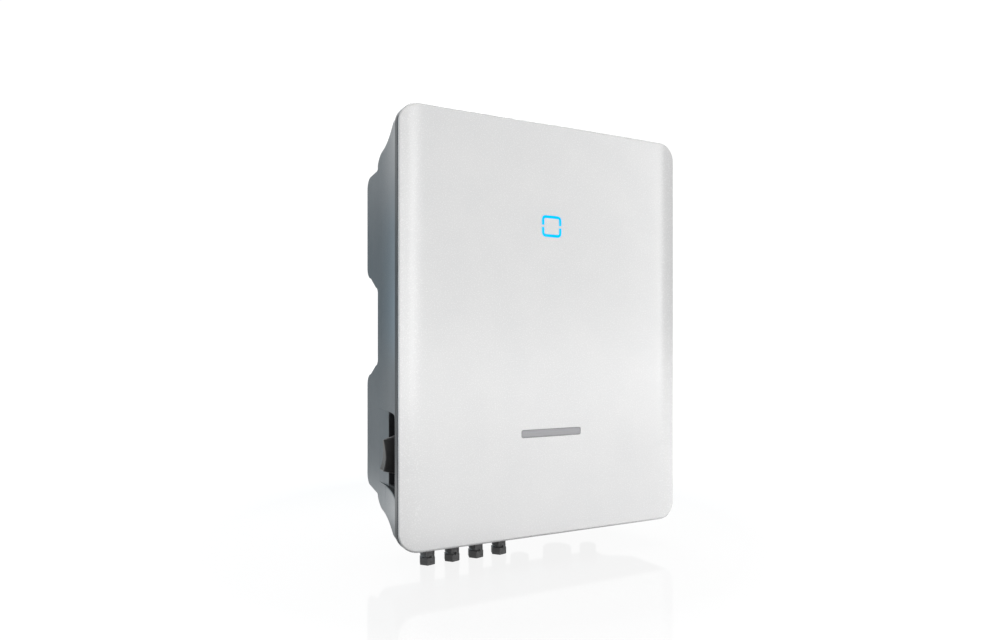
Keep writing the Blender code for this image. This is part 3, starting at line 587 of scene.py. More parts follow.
def rounded_rectangle(half_width, half_height, radius, steps):
    """Outline of a rounded rectangle as (x, z, normal x, normal z), one corner after the other."""
    outline = []
    for corner in range(4):
        centre_x = (half_width - radius) * (1 if corner in (0, 3) else -1)
        centre_z = (half_height - radius) * (1 if corner in (0, 1) else -1)
        for step in range(steps + 1):
            angle = math.radians(90 * corner + 90 * step / steps)
            nx = math.cos(angle)
            nz = math.sin(angle)
            outline.append((centre_x + radius * nx, centre_z + radius * nz, nx, nz))
    return outline


def rounded_ring(half_width, half_height, radius, depth, centre_z=0.0, steps=8):
    """Points of a rounded rectangle that faces the front."""
    outline = rounded_rectangle(half_width, half_height, radius, steps)
    return [at(x, depth, centre_z + z) for x, z, _, _ in outline]


def add_slab(half_width, half_height, radius, depths, centre_z=0.0):
    """A rounded plate that faces the front."""
    return add_loft([rounded_ring(half_width, half_height, radius, depth, centre_z) for depth in depths])


def arc(centre_a, centre_b, radius, start, end, steps):
    """Points of an arc in a plane, between two angles in degrees."""
    angles = [math.radians(start + (end - start) * step / steps) for step in range(steps + 1)]
    return [(centre_a + radius * math.cos(a), centre_b + radius * math.sin(a)) for a in angles]


def fillet(points, radius, steps=4, closed=True):
    """Rounds the corners of an outline. A point may carry its own radius as a third number."""
    result = []
    count = len(points)
    for i, point in enumerate(points):
        here = Vector(point[:2])
        own = point[2] if len(point) > 2 else radius
        at_end = not closed and i in (0, count - 1)
        if at_end or own == 0:
            result.append(tuple(here))
            continue
        before = Vector(points[i - 1][:2]) - here
        after = Vector(points[(i + 1) % count][:2]) - here
        angle = before.angle(after)
        reach = min(own / math.tan(angle / 2), 0.48 * before.length, 0.48 * after.length)
        start = here + before.normalized() * reach
        end = here + after.normalized() * reach
        for step in range(steps + 1):
            t = step / steps
            result.append(tuple(start * (1 - t) ** 2 + here * 2 * t * (1 - t) + end * t ** 2))
    return result


def inset(points, distance):
    """Moves a closed outline inwards by a distance."""
    count = len(points)
    area = sum(a[0] * b[1] - b[0] * a[1] for a, b in zip(points, points[1:] + points[:1]))
    turn = 1 if area > 0 else -1
    result = []
    for i, point in enumerate(points):
        here = Vector(point)
        into = (here - Vector(points[i - 1])).normalized()
        out = (Vector(points[(i + 1) % count]) - here).normalized()
        normals = Vector((-into.y, into.x)) + Vector((-out.y, out.x))
        shift = normals * (turn * distance / max(1 + into.dot(out), 0.3))
        result.append(tuple(here + shift))
    return result


def add_prism(outline, axis, span, edge=0.0, steps=3):
    """Extrudes (depth, z) points along X, or (x, depth) points along Z, with round edges at both ends."""
    low, high = sorted(span)
    levels = [(low, 0.0), (high, 0.0)]
    if edge:
        quarter = [math.radians(90) * step / steps for step in range(steps + 1)]
        levels = [(low + edge * (1 - math.cos(a)), edge * (1 - math.sin(a))) for a in quarter]
        levels += [(high - (place - low), inward) for place, inward in reversed(levels)]
    rings = []
    for place, inward in levels:
        points = inset(outline, inward) if inward > MM / 10000 else outline
        if axis == "X":
            rings.append([at(place, a, b) for a, b in points])
        else:
            rings.append([at(a, b, place) for a, b in points])
    return add_loft(rings)


def add_turned(profile, place, axis, steps=48, ribs=0, shape=None):
    """Turns (radius, height) points about an axis. A third number is the depth of the grooves between ribs."""
    shape = bmesh.new() if shape is None else shape
    turn = axis.to_track_quat("Z", "Y").to_matrix().to_4x4()
    to_place = Matrix.Translation(place) @ turn
    rings = []
    for radius, height, *groove in profile:
        if radius == 0:
            rings.append([shape.verts.new(to_place @ Vector((0, 0, height)))])
            continue
        ring = []
        for step in range(steps):
            angle = math.tau * step / steps
            reach = radius
            if groove:
                reach -= groove[0] * (0.5 - 0.5 * math.cos(ribs * angle))
            point = Vector((reach * math.cos(angle), reach * math.sin(angle), height))
            ring.append(shape.verts.new(to_place @ point))
        rings.append(ring)
    pairs = list(zip(rings, rings[1:]))
    if profile[0][0] > 0:
        pairs.append((rings[-1], rings[0]))
    for low, high in pairs:
        for i in range(steps):
            j = (i + 1) % steps
            corners = [low[i % len(low)], low[j % len(low)], high[j % len(high)], high[i % len(high)]]
            shape.faces.new(list(dict.fromkeys(corners)))
    return shape


def add_cylinder(radius, place, axis, length, steps=32, shape=None):
    profile = [(0, 0), (radius, 0), (radius, length), (0, length)]
    return add_turned(profile, place, axis, steps, shape=shape)


# ---------------------------------------------------------------- front cover


def bend_drop(x):
    """How far the cover's front falls back away from the middle: flat, an arc, then a straight run."""
    run = abs(x) - BEND_START
    if run <= 0:
        return 0.0
    radius = BEND_WIDTH / math.sin(BEND_ANGLE)
    if run <= BEND_WIDTH:
        return radius - math.sqrt(radius * radius - run * run)
    return radius * (1 - math.cos(BEND_ANGLE)) + (run - BEND_WIDTH) * math.tan(BEND_ANGLE)


def cover_solid(shrink, front, rear, corner_steps=18, edge_steps=9, bend_steps=14):
    """The cover's outer form, made smaller by an inset, as a solid from its front to its rear."""
    radius = OUTLINE_RADIUS - shrink
    outline = rounded_rectangle(HALF_WIDTH - shrink, HALF_HEIGHT - shrink, radius, corner_steps)
    rings = [[at(x, rear, z) for x, z, _, _ in outline]]
    for step in range(edge_steps + 1):
        angle = math.radians(90) * step / edge_steps
        ring = []
        for x, z, nx, nz in outline:
            rounds = zip(SIDE_EDGE_ROUND, TOP_EDGE_ROUND)
            across, along = [side + (top - side) * nz * nz for side, top in rounds]
            back = along * (1 - math.sin(angle))
            inward = across * (1 - math.cos(angle))
            ring.append(at(x - nx * inward, front + back, z - nz * inward))
        rings.append(ring)
    shape = add_loft(rings)
    for side in (-1, 1):
        for step in range(bend_steps + 1):
            place = side * (BEND_START + BEND_WIDTH * step / bend_steps)
            everything = shape.verts[:] + shape.edges[:] + shape.faces[:]
            bmesh.ops.bisect_plane(shape, geom=everything, plane_co=(place, 0, 0), plane_no=(1, 0, 0))
    for vert in shape.verts:
        if vert.co.y < FRONT + rear - MM / 10:
            vert.co.y += bend_drop(vert.co.x)
    return shape


def half_ring(side, shrink):
    """One half of the status ring as (x, z) points. shrink draws every edge in."""
    end = LIGHT_BREAK / 2 + shrink
    outer_x = LIGHT_HALF_WIDTH - shrink
    outer_z = LIGHT_HALF_HEIGHT - shrink
    inner_x = LIGHT_HALF_WIDTH - LIGHT_STROKE + shrink
    inner_z = LIGHT_HALF_HEIGHT - LIGHT_STROKE + shrink
    outer = rounded_rectangle(outer_x, outer_z, LIGHT_RADIUS - shrink, 12)
    inner = rounded_rectangle(inner_x, inner_z, LIGHT_RADIUS - LIGHT_STROKE + shrink, 12)
    points = [(outer_x, end)]
    points += [(x, z) for x, z, _, _ in outer if z > end]
    points += [(-outer_x, end), (-inner_x, end)]
    points += [(x, z) for x, z, _, _ in reversed(inner) if z > end]
    points.append((inner_x, end))
    centre = middle("light_guide").z
    return [(x, centre + side * z) for x, z in points]


def build_cover():
    """The white cover: a shell with slots for the status light and a pocket for the nameplate."""
    cover = new_object("cover_panel", cover_solid(0, 0, SKIRT_REAR), LOOKS["cover_white"])
    combine(cover, cover_solid(COVER_WALL, COVER_WALL, SKIRT_REAR + MM, 8, 2, 4))
    for side in (-1, 1):
        combine(cover, add_extrusion(half_ring(side, 0), (-MM, COVER_WALL + MM)))
    low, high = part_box("nameplate")
    half_width = (high.x - low.x) / 2 + LIGHT_GAP
    half_height = (high.z - low.z) / 2 + LIGHT_GAP
    depths = (-MM, high.y - FRONT + GAP)
    pocket = add_slab(half_width, half_height, 2 * MM + LIGHT_GAP, depths, middle("nameplate").z)
    combine(cover, pocket)
    stand_for(cover, "front_cover")


def build_light():
    """Two lit bars that fill the slots flush, on the carrier plate behind the cover."""
    low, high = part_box("light_guide")
    half_width = (high.x - low.x) / 2
    half_height = (high.z - low.z) / 2
    rear = high.y - FRONT
    depths = (rear - 1.6 * MM, rear)
    carrier = add_slab(half_width, half_height, 6 * MM, depths, middle("light_guide").z)
    light = new_object("status_light_ring", carrier, LOOKS["light_cyan"])
    for side in (-1, 1):
        outline = half_ring(side, LIGHT_GAP)
        rim = inset(outline, LIGHT_EDGE)
        rings = [[at(x, 0, z) for x, z in rim]]
        rings += [[at(x, d, z) for x, z in outline] for d in (LIGHT_EDGE, rear - MM)]
        combine(light, add_loft(rings), "UNION")
    stand_for(light, "light_guide")


def build_nameplate():
    """A blank plate with a narrow bevel all round and a shallow sunk field."""
    low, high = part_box("nameplate")
    half_width = (high.x - low.x) / 2
    half_height = (high.z - low.z) / 2
    rear = high.y - FRONT
    rings = []
    for shrink, depth in ((0, rear), (0, 0.25 * MM), (0.25 * MM, 0), (0.9 * MM, 0), (1.1 * MM, 0.15 * MM)):
        radius = 2 * MM - shrink * 0.8
        centre_z = middle("nameplate").z
        rings.append(rounded_ring(half_width - shrink, half_height - shrink, radius, depth, centre_z))
    plate = new_object("blank_nameplate", add_loft(rings), LOOKS["plate_grey"])
    stand_for(plate, "nameplate")


# ---------------------------------------------------------------- tub


def side_inset(depth):
    """How far the tub's side lies inside the rim at a depth."""
    run = min(max((depth - RIM_REAR) / (FLARE_END - RIM_REAR), 0.0), 1.0)
    return SIDE_INSET * (1 - (1 - run) ** 2)


def end_inset(depth):
    """How far the tub's top and bottom lie inside the rim: a smooth step, then a roll-off."""
    run = min(max((depth - END_STEP_START) / (FLARE_END - END_STEP_START), 0.0), 1.0)
    roll = max(depth - END_ROLL_START, 0.0) / (TUB_REAR - END_ROLL_START)
    return END_STEP * run * run * (3 - 2 * run) + END_ROLL * roll ** 2.3


def tub_ring(depth, shrink=0.0):
    """Section of the tub at a depth. Its corners go from the rim's radius to the smaller rear one."""
    blend = min(max((depth - RIM_REAR) / (CORNER_BLEND_END - RIM_REAR), 0.0), 1.0)
    radius = OUTLINE_RADIUS + (TUB_CORNER_RADIUS - OUTLINE_RADIUS) * blend - shrink
    half_width = HALF_WIDTH - side_inset(depth) - shrink
    half_height = HALF_HEIGHT - end_inset(depth) - shrink
    return rounded_ring(half_width, half_height, radius, depth, steps=14)


def tub_shape():
    """The tub's outer form, with a small round on the rim's front edge and on the rear edge."""
    rings = [tub_ring(RIM_FRONT, 0.5 * MM), tub_ring(RIM_FRONT + 0.15 * MM, 0.15 * MM)]
    depths = [RIM_FRONT + 0.5 * MM, 12 * MM, 15.6 * MM, RIM_REAR, RIM_REAR + 1.2 * MM]
    flare_steps = 34
    start = RIM_REAR + 3.6 * MM
    depths += [start + (FLARE_END - start) * step / flare_steps for step in range(flare_steps + 1)]
    depths += [END_ROLL_START + step * MM for step in (0, 3, 6, 9, 12, 14, 15.6)]
    rings += [tub_ring(depth) for depth in depths]
    edge = TUB_REAR_ROUND
    for angle in (30, 60, 90):
        turn = math.radians(angle)
        depth = TUB_REAR - edge * (1 - math.sin(turn))
        rings.append(tub_ring(depth, edge * (1 - math.cos(turn))))
    return add_loft(rings)


def ear_outline(low, high, low_slope, high_slope, low_hollow, high_hollow):
    """Side plate outline as (depth, z): each end leaves the tub in a hollow curve and ends in a round."""
    front = TUB_REAR - 12 * MM
    rear = WALL - 0.5 * MM
    radius = EAR_RADIUS
    steps = 10
    lower = [(front, low - low_hollow)]
    lower += arc(TUB_REAR + low_hollow, low - low_hollow, low_hollow, 180, 90, steps)
    lower += arc(rear - radius, low + low_slope + radius, radius, -90, 0, steps)
    upper = [(front, high + high_hollow)]
    upper += arc(TUB_REAR + high_hollow, high + high_hollow, high_hollow, 180, 270, steps)
    upper += arc(rear - radius, high - high_slope - radius, radius, 90, 0, steps)
    return lower + upper[::-1]


def recess_outline():
    """Outline of the switch recess as (depth, z), with its two front corners rounded."""
    radius = RECESS_RADIUS
    outline = [(RECESS_REAR, RECESS_TOP), (RECESS_REAR, RECESS_BOTTOM)]
    outline += arc(RECESS_FRONT + radius, RECESS_BOTTOM + radius, radius, 270, 180, 9)
    outline += arc(RECESS_FRONT + radius, RECESS_TOP - radius, radius, 180, 90, 9)
    return outline


def build_tub():
    """The die-cast tub, cut and built up step by step from its outer form."""
    tub = new_object("tub_casting", tub_shape(), LOOKS["housing_slate"])
    hollow_out(tub)
    add_ears(tub)
    add_well_block(tub)
    add_pads(tub)
    cut_recess(tub)
    drill(tub)
    shade_recess_walls(tub)
    stand_for(tub, "main_housing")


def hollow_out(tub):
    """Takes out the cavity and, in front of the ledge for the lid, the wider opening."""
    sections = (
        (LEDGE_DEPTH - MM, 168 * MM, 222 * MM),
        (50 * MM, 168 * MM, 222 * MM),
        (90 * MM, 162 * MM, 222 * MM),
        (110 * MM, 160 * MM, 218 * MM),
        (143 * MM, 159 * MM, 202 * MM),
    )
    combine(tub, add_loft([rounded_ring(x, z, 14 * MM, depth, steps=4) for depth, x, z in sections]))
    half_width = HALF_WIDTH - RIM_WALL
    half_height = HALF_HEIGHT - RIM_WALL
    depths = (RIM_FRONT - MM, LEDGE_DEPTH)
    combine(tub, add_slab(half_width, half_height, OUTLINE_RADIUS - RIM_WALL, depths))


def add_ears(tub):
    """Two rear side plates on each side, with the hand notch between them."""
    wide, narrow = 8 * MM, 2.5 * MM
    upper = ear_outline(54 * MM, 201 * MM, 14 * MM, MM, wide, narrow)
    lower = ear_outline(-204 * MM, -43 * MM, 4 * MM, 12 * MM, narrow, wide)
    for side in (-1, 1):
        span = (side * SIDE_PLANE, side * (SIDE_PLANE - EAR_THICKNESS))
        for outline in (upper, lower):
            combine(tub, add_prism(outline, "X", span, EAR_EDGE), "UNION")


def add_well_block(tub):
    """Thickens the wall round the switch well from inside."""
    x_range = (-SIDE_PLANE + MM, -WELL_FLOOR + WELL_WALL)
    depth_range = (LEDGE_DEPTH + 2 * MM, WELL_REAR + WELL_WALL)
    z_range = (RECESS_BOTTOM - WELL_WALL, RECESS_TOP + WELL_WALL)
    combine(tub, add_box(x_range, depth_range, z_range), "UNION")


def add_pads(tub):
    """Two flat pads for the outlets, each built up from the tub and milled flat from below."""
    first, last = middle("pv_connector_1"), middle("pv_connector_4")
    reach = 14 * MM
    depth = first.y - FRONT
    places = (
        ((first.x - reach, last.x + reach), (depth - reach, depth + reach), -239 * MM),
        ((-34 * MM, 150 * MM), (90 * MM, 134 * MM), -230.5 * MM),
    )
    for x_range, depth_range, bottom in places:
        combine(tub, add_box(x_range, depth_range, (bottom, bottom + 9 * MM)), "UNION")
        combine(tub, add_box(x_range, depth_range, (-HALF_HEIGHT - MM, bottom)))


def cut_recess(tub):
    """The recess runs through the flare down to the side plane, and the well goes deeper."""
    x_outside = -HALF_WIDTH - 5 * MM
    combine(tub, add_prism(recess_outline(), "X", (x_outside, -SIDE_PLANE)))
    round_recess_mouth(tub)
    sunk = [
        (-SIDE_PLANE - 3 * MM, RECESS_FRONT + 12 * MM),
        (-SIDE_PLANE + RECESS_SINK, RECESS_FRONT + 12 * MM),
        (-SIDE_PLANE + RECESS_SINK, WELL_REAR + WELL_WALL),
        (-SIDE_PLANE, RECESS_REAR),
        (-SIDE_PLANE - 3 * MM, RECESS_REAR),
    ]
    combine(tub, add_prism(sunk, "Z", (RECESS_BOTTOM, RECESS_TOP)))
    x_range = (-SIDE_PLANE - MM / 2, -WELL_FLOOR)
    combine(tub, add_box(x_range, (RECESS_FRONT, WELL_REAR), (RECESS_BOTTOM, RECESS_TOP)))


def round_recess_mouth(tub):
    """Rounds the edge where the recess breaks through the flare."""
    shape = bmesh.new()
    shape.from_mesh(tub.data)
    bmesh.ops.dissolve_limit(shape, angle_limit=math.radians(0.05), verts=shape.verts, edges=shape.edges)
    edges = []
    for edge in shape.edges:
        if len(edge.link_faces) != 2 or not all(on_mouth(vert.co) for vert in edge.verts):
            continue
        across = sorted(abs(face.normal.x) for face in edge.link_faces)
        if across[0] < 0.2 and across[1] > 0.6:
            edges.append(edge)
    bmesh.ops.bevel(
        shape,
        geom=edges,
        offset=MOUTH_ROUND,
        offset_type="OFFSET",
        segments=3,
        profile=0.5,
        affect="EDGES",
        clamp_overlap=False,
    )
    shape.to_mesh(tub.data)
    shape.free()
    shade(tub.data)


def shade_recess_walls(tub):
    """Painted shade: gives the upper and lower walls of the recess the black of the well lining."""
    tub.data.materials.append(WELL_LOOK.material)
    for face in tub.data.polygons:
        depth = face.center.y - FRONT
        at_wall = min(abs(face.center.z - RECESS_BOTTOM), abs(face.center.z - RECESS_TOP)) < 0.2 * MM
        in_recess = RECESS_FRONT < depth < TUB_REAR and face.center.x < -WELL_FLOOR
        # Painted shade: only the casting's walls that face up or down in the recess are picked, by their
        # normals.
        if at_wall and in_recess and abs(face.normal.z) > 0.9:
            face.material_index = 1


def on_mouth(place):
    """True for a point on the flare's outer surface, beside the recess and where it still has depth."""
    depth = place.y - FRONT
    if not RECESS_FRONT - MM < depth < MOUTH_END:
        return False
    if not RECESS_BOTTOM - MM < place.z < RECESS_TOP + MM:
        return False
    return abs(-place.x - (HALF_WIDTH - side_inset(depth))) < 0.12 * MM


def drill(tub):
    """Holes for what passes through the tub's wall, each round the CAD piece that goes in."""
    holes = bmesh.new()
    for number in range(1, 5):
        add_hole_round(holes, "pv_connector_%d" % number, PV_HOLE, -215 * MM)
    for name, radius in HOLES.items():
        add_hole_round(holes, name, radius, -205 * MM)
    shaft = Vector((-WELL_FLOOR - MM, *switch_centre()))
    add_cylinder(SHAFT_HOLE, shaft, RIGHT, 8 * MM, shape=holes)
    screw = middle("earth_screw")
    screw.x = SIDE_PLANE + MM
    add_cylinder(SCREW_HOLE, screw, LEFT, 10 * MM, shape=holes)
    combine(tub, holes)


def add_hole_round(holes, node, radius, top):
    """A hole down through the tub's underside, round the axis of a CAD node."""
    centre = middle(node)
    add_cylinder(radius, Vector((centre.x, centre.y, top)), DOWN, 40 * MM, shape=holes)


# ---------------------------------------------------------------- DC switch


def build_well_lining():
    """The black tray of the switch well, with round inner corners and a thin lip at its mouth."""
    low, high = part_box("switch_bezel")
    wall = 2 * MM
    back = 2.5 * MM
    depths = (low.y - FRONT, WELL_REAR - GAP)
    mouth = low.x + RECESS_SINK
    shape = add_box((mouth, high.x), depths, (low.z, high.z))
    lining = new_object("switch_well_lining", shape, WELL_LOOK)
    corners = [
        (depths[0] + wall, low.z + wall),
        (depths[1] - wall, low.z + wall),
        (depths[1] - wall, high.z - wall),
        (depths[0] + wall, high.z - wall),
    ]
    span = (low.x - 4 * MM, high.x - back)
    hollow = add_prism(fillet(corners, 3 * MM, 6), "X", span, 2 * MM, 5)
    combine(lining, hollow)
    lip_corners = fillet(inset(corners, -0.7 * MM), 3.5 * MM, 6)
    lip = add_prism(lip_corners, "X", (mouth - MM, mouth + 0.7 * MM))
    combine(lining, lip)
    place = Vector((high.x + MM, *switch_centre()))
    combine(lining, add_cylinder(12.3 * MM, place, LEFT, 6 * MM, 48))
    soften(lining, 0.25 * MM, 50)
    stand_for(lining, "switch_bezel")


def switch_centre():
    """The switch's axis as (y, z)."""
    return middle("switch_shaft").yz


def handle_point(side, z_share, rise, shrink):
    """A point on the bar handle. rise is 0 at its foot on the disc and 1 at its outer face."""
    centre_y, centre_z = switch_centre()
    half_length = (24 - 6.4 * rise) * MM - shrink
    z = half_length * z_share
    foot, waist, tip = [(a + (b - a) * rise) * MM for a, b in ((18, 15), (14, 11), (10, 5))]
    along = abs(z_share)
    end_width = foot if z_share < 0 else tip
    half_width = (waist + (end_width - waist) * along) / 2 - shrink
    corner = 1.8 * MM
    to_end = min(half_length - abs(z), corner)
    half_width -= corner - math.sqrt(corner ** 2 - (corner - to_end) ** 2)
    return centre_y + side * half_width, centre_z + z


def handle_outer(z_share):
    """Place along X of the handle's outer face: the foot stands out most and the middle least."""
    end = -184.6 * MM if z_share < 0 else -182.8 * MM
    waist = -181.4 * MM
    return waist + (end - waist) * z_share ** 2


def add_handle(x_base):
    """Bar handle with a hollow for the fingers along its outer face and rounded edges."""
    count = 28
    shares = [-math.cos(math.pi * i / count) for i in range(count + 1)]
    edge = 1.1 * MM
    levels = [(rise, 0.0, 0.0) for rise in (0.0, 0.25, 0.5, 0.75)]
    for turn in (0, 0.4, 0.8, 1.2, math.pi / 2):
        levels.append((1.0, edge * (1 - math.sin(turn)), edge * (1 - math.cos(turn))))
    rings = []
    for rise, drop, shrink in levels:
        ring = []
        for side in (-1, 1):
            points = []
            for share in shares:
                y, z = handle_point(side, share, rise, shrink)
                x = x_base + (handle_outer(share) + drop - x_base) * rise
                points.append(Vector((x, y, z)))
            ring += points if side < 0 else points[::-1]
        rings.append(ring)
    shape = bmesh.new()
    rows = skin(shape, rings)
    for row in (rows[0], rows[-1]):
        for i in range(count):
            shape.faces.new((row[i], row[i + 1], row[-2 - i], row[-1 - i]))
    return shape


def build_knob():
    """The switch's knob: a disc with a raised edge, and the bar handle on it."""
    centre = switch_centre()
    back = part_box("switch_knob")[1].x
    rim = [
        (0, 0),
        (25 * MM, 0, 0.4 * MM),
        (25 * MM, 5.2 * MM, 0.8 * MM),
        (24 * MM, 7.5 * MM, 1.0 * MM),
        (21 * MM, 7.5 * MM, 0.3 * MM),
        (20.4 * MM, 6.9 * MM, 0.3 * MM),
        (0, 6.9 * MM),
    ]
    profile = fillet(rim, 0.3 * MM, 4, closed=False)
    disc = add_turned(profile, Vector((back, *centre)), LEFT, 72)
    knob = new_object("switch_handle", disc, LOOKS["dark_plastic"])
    combine(knob, add_handle(back - 5 * MM), "UNION")
    combine(knob, add_cylinder(SHAFT_HOLE, Vector((back + MM, *centre)), LEFT, 7 * MM))
    # Painted highlight: the handle's outer face, picked by its normal, gets a lighter grey in place of the
    # light it catches.
    knob.data.materials.append(LIT_HANDLE_FACE_LOOK.material)
    for face in knob.data.polygons:
        if face.normal.x < -0.8 and face.center.x < back - 20 * MM:
            face.material_index = 1
    stand_for(knob, "switch_knob")


# ---------------------------------------------------------------- outlets


def node_axis(name):
    """Middle of a node in x and y, and its lowest and highest z."""
    low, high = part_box(name)
    centre = middle(name)
    return centre.x, centre.y, low.z, high.z


def build_pv_connector(number):
    """A solar connector: round sleeve with a latch tongue, and a six-sided collar below a groove."""
    node = "pv_connector_%d" % number
    x, y, bottom, top = node_axis(node)
    seat = top - PV_STEM
    total = seat - bottom
    collar = 8.4 * MM
    groove = 2.3 * MM
    slot_top = total - collar - groove
    bore = 4.2 * MM
    outline = [
        (0, -PV_STEM),
        (6 * MM, -PV_STEM, 0.3 * MM),
        (6 * MM, 0, 0.2 * MM),
        (9.4 * MM, 0, 0.4 * MM),
        (9.4 * MM, 4 * MM, 0.7 * MM),
        (8.0 * MM, 5.4 * MM, 0.8 * MM),
        (8.4 * MM, slot_top - 2 * MM, 2 * MM),
        (8.4 * MM, slot_top, 0.3 * MM),
        (5.3 * MM, slot_top + 0.3 * MM, 0.3 * MM),
        (5.3 * MM, total - MM, 0.3 * MM),
        (bore, total - MM, 0.3 * MM),
        (bore, total - 14 * MM, 0.2 * MM),
        (0, total - 14 * MM),
    ]
    profile = fillet(outline, 0.3 * MM, 4, closed=False)
    body = add_turned(profile, Vector((x, y, seat)), DOWN, 64)
    connector = new_object("solar_connector_%d" % number, body, LOOKS["connector_plastic"])
    depth = y - FRONT

    corners = []
    for corner in range(6):
        angle = math.radians(252.5 + 60 * corner)
        corners.append((x + 9.9 * MM * math.cos(angle), depth + 9.9 * MM * math.sin(angle)))
    collar_top = bottom + collar
    hexagon = add_prism(fillet(corners, 1.1 * MM, 5), "Z", (bottom, collar_top), 0.6 * MM, 4)
    combine(connector, hexagon, "UNION")
    bridge = fillet(
        [
            (x + 2.0 * MM, depth - 8.3 * MM),
            (x + 6.4 * MM, depth - 6.4 * MM),
            (x + 8.6 * MM, depth),
            (x + 4 * MM, depth + 4 * MM),
            (x + 2.0 * MM, depth - 4 * MM),
        ],
        MM,
    )
    z_range = (collar_top - MM, collar_top + groove + 1.2 * MM)
    combine(connector, add_prism(bridge, "Z", z_range, 0.2 * MM, 2), "UNION")
    front = depth - 9.3 * MM
    tongue_foot = collar_top + groove + 0.2 * MM
    tongue = [
        (front + 0.5 * MM, tongue_foot),
        (depth - 3 * MM, tongue_foot),
        (depth - 3 * MM, seat - 3 * MM),
        (front, seat - 3 * MM),
    ]
    latch = add_prism(fillet(tongue, 0.6 * MM), "X", (x - 4.8 * MM, x - 0.4 * MM), 0.5 * MM)
    combine(connector, latch, "UNION")
    combine(connector, add_cylinder(bore, Vector((x, y, bottom - MM)), -DOWN, 15 * MM, 48))
    wedge = [(x + 5.0 * MM, bottom - MM), (x + 14 * MM, bottom - MM), (x + 14 * MM, bottom + 7.6 * MM)]
    combine(connector, add_extrusion(wedge, (depth - 12 * MM, depth + 12 * MM)))
    soften(connector, 0.2 * MM, 40)
    stand_for(connector, node)


def build_port(node, body_radius, barrel_radius, bore_radius):
    """An outlet with a round flange and a threaded barrel, and its ribbed dust cap."""
    x, y, bottom, top = node_axis(node)
    seat = top - PORT_STEM
    length = seat - bottom
    flange = 3 * MM
    outline = [
        (0, -PORT_STEM),
        (body_radius, -PORT_STEM, 0.3 * MM),
        (body_radius, 0, 0.2 * MM),
        (barrel_radius + 4 * MM, 0, 0.3 * MM),
        (barrel_radius + 4 * MM, flange, 0.8 * MM),
        (barrel_radius, flange, 0.3 * MM),
    ]
    pitch = 2 * MM
    threads = int((length - flange - 2 * MM) / pitch)
    for turn in range(threads):
        start = flange + MM + turn * pitch
        outline += [(barrel_radius, start), (barrel_radius - 0.6 * MM, start + pitch / 2)]
    outline += [
        (barrel_radius, length, 0.4 * MM),
        (bore_radius, length, 0.4 * MM),
        (bore_radius, flange + 2 * MM, 0.3 * MM),
        (0, flange + 2 * MM),
    ]
    place = Vector((x, y, seat))
    profile = fillet(outline, 0.25 * MM, 3, closed=False)
    shape = add_turned(profile, place, DOWN, 72)
    outlet = new_object(node + "_outlet", shape, LOOKS["connector_plastic"])
    stand_for(outlet, node)

    inner = barrel_radius + GAP
    outer = barrel_radius + 2.2 * MM
    rim = flange + GAP
    roof = length + GAP
    end = roof + 2.4 * MM
    groove = 0.55 * MM
    cap = [
        (0, roof, 0),
        (inner, roof, 0),
        (inner, rim, 0),
        (outer, rim, 0),
        (outer, rim + 1.8 * MM, 0),
        (outer, rim + 2.4 * MM, groove),
        (outer, roof - 0.2 * MM, groove),
        (outer, roof + 0.6 * MM, 0),
        (outer - 0.35 * MM, end - 0.7 * MM, 0),
        (outer - MM, end - 0.15 * MM, 0),
        (outer - 1.5 * MM, end, 0),
        (outer * 0.55, end, 0),
        (outer * 0.5, end - 0.7 * MM, 0),
        (0, end - 0.7 * MM, 0),
    ]
    shape = add_turned(cap, place, DOWN, CAP_RIBS * STEPS_PER_RIB, ribs=CAP_RIBS)
    item = new_object(node + "_dust_cap", shape, LOOKS["rubber"])
    stand_for(item, node + "_cap")


def build_vent():
    """Pressure vent: a ribbed rim round a domed cover with a ring of narrow slits."""
    x, y, _, top = node_axis("vent_valve")
    seat = top - VENT_STEM
    outline = [
        (0, -VENT_STEM, 0),
        (4 * MM, -VENT_STEM, 0),
        (4 * MM, 0, 0),
        (8 * MM, 0, 0),
        (8 * MM, 0.6 * MM, 0.45 * MM),
        (8 * MM, 3.6 * MM, 0.45 * MM),
        (7.4 * MM, 4.4 * MM, 0),
        (6.4 * MM, 5.4 * MM, 0),
        (4 * MM, 6 * MM, 0),
        (0, 6 * MM, 0),
    ]
    place = Vector((x, y, seat))
    shape = add_turned(outline, place, DOWN, VENT_RIBS * STEPS_PER_RIB, ribs=VENT_RIBS)
    vent = new_object("pressure_vent", shape, LOOKS["dark_plastic"])
    for slit in range(6):
        turn = Matrix.Translation(place) @ Matrix.Rotation(math.radians(60 * slit), 4, "Z")
        corners = ((2.6 * MM, -0.35 * MM), (5 * MM, -0.35 * MM), (5 * MM, 0.35 * MM), (2.6 * MM, 0.35 * MM))
        rings = [[turn @ Vector((a, b, level)) for a, b in corners] for level in (-8 * MM, -4.6 * MM)]
        combine(vent, add_loft(rings))
    stand_for(vent, "vent_valve")


def build_outlets():
    """The solar connectors, the three ports with their caps, and the vent."""
    for number in range(1, 5):
        build_pv_connector(number)
    for node, radii in PORT_SIZES.items():
        build_port(node, *radii)
    build_vent()


# ---------------------------------------------------------------- heat sink, brackets and screws


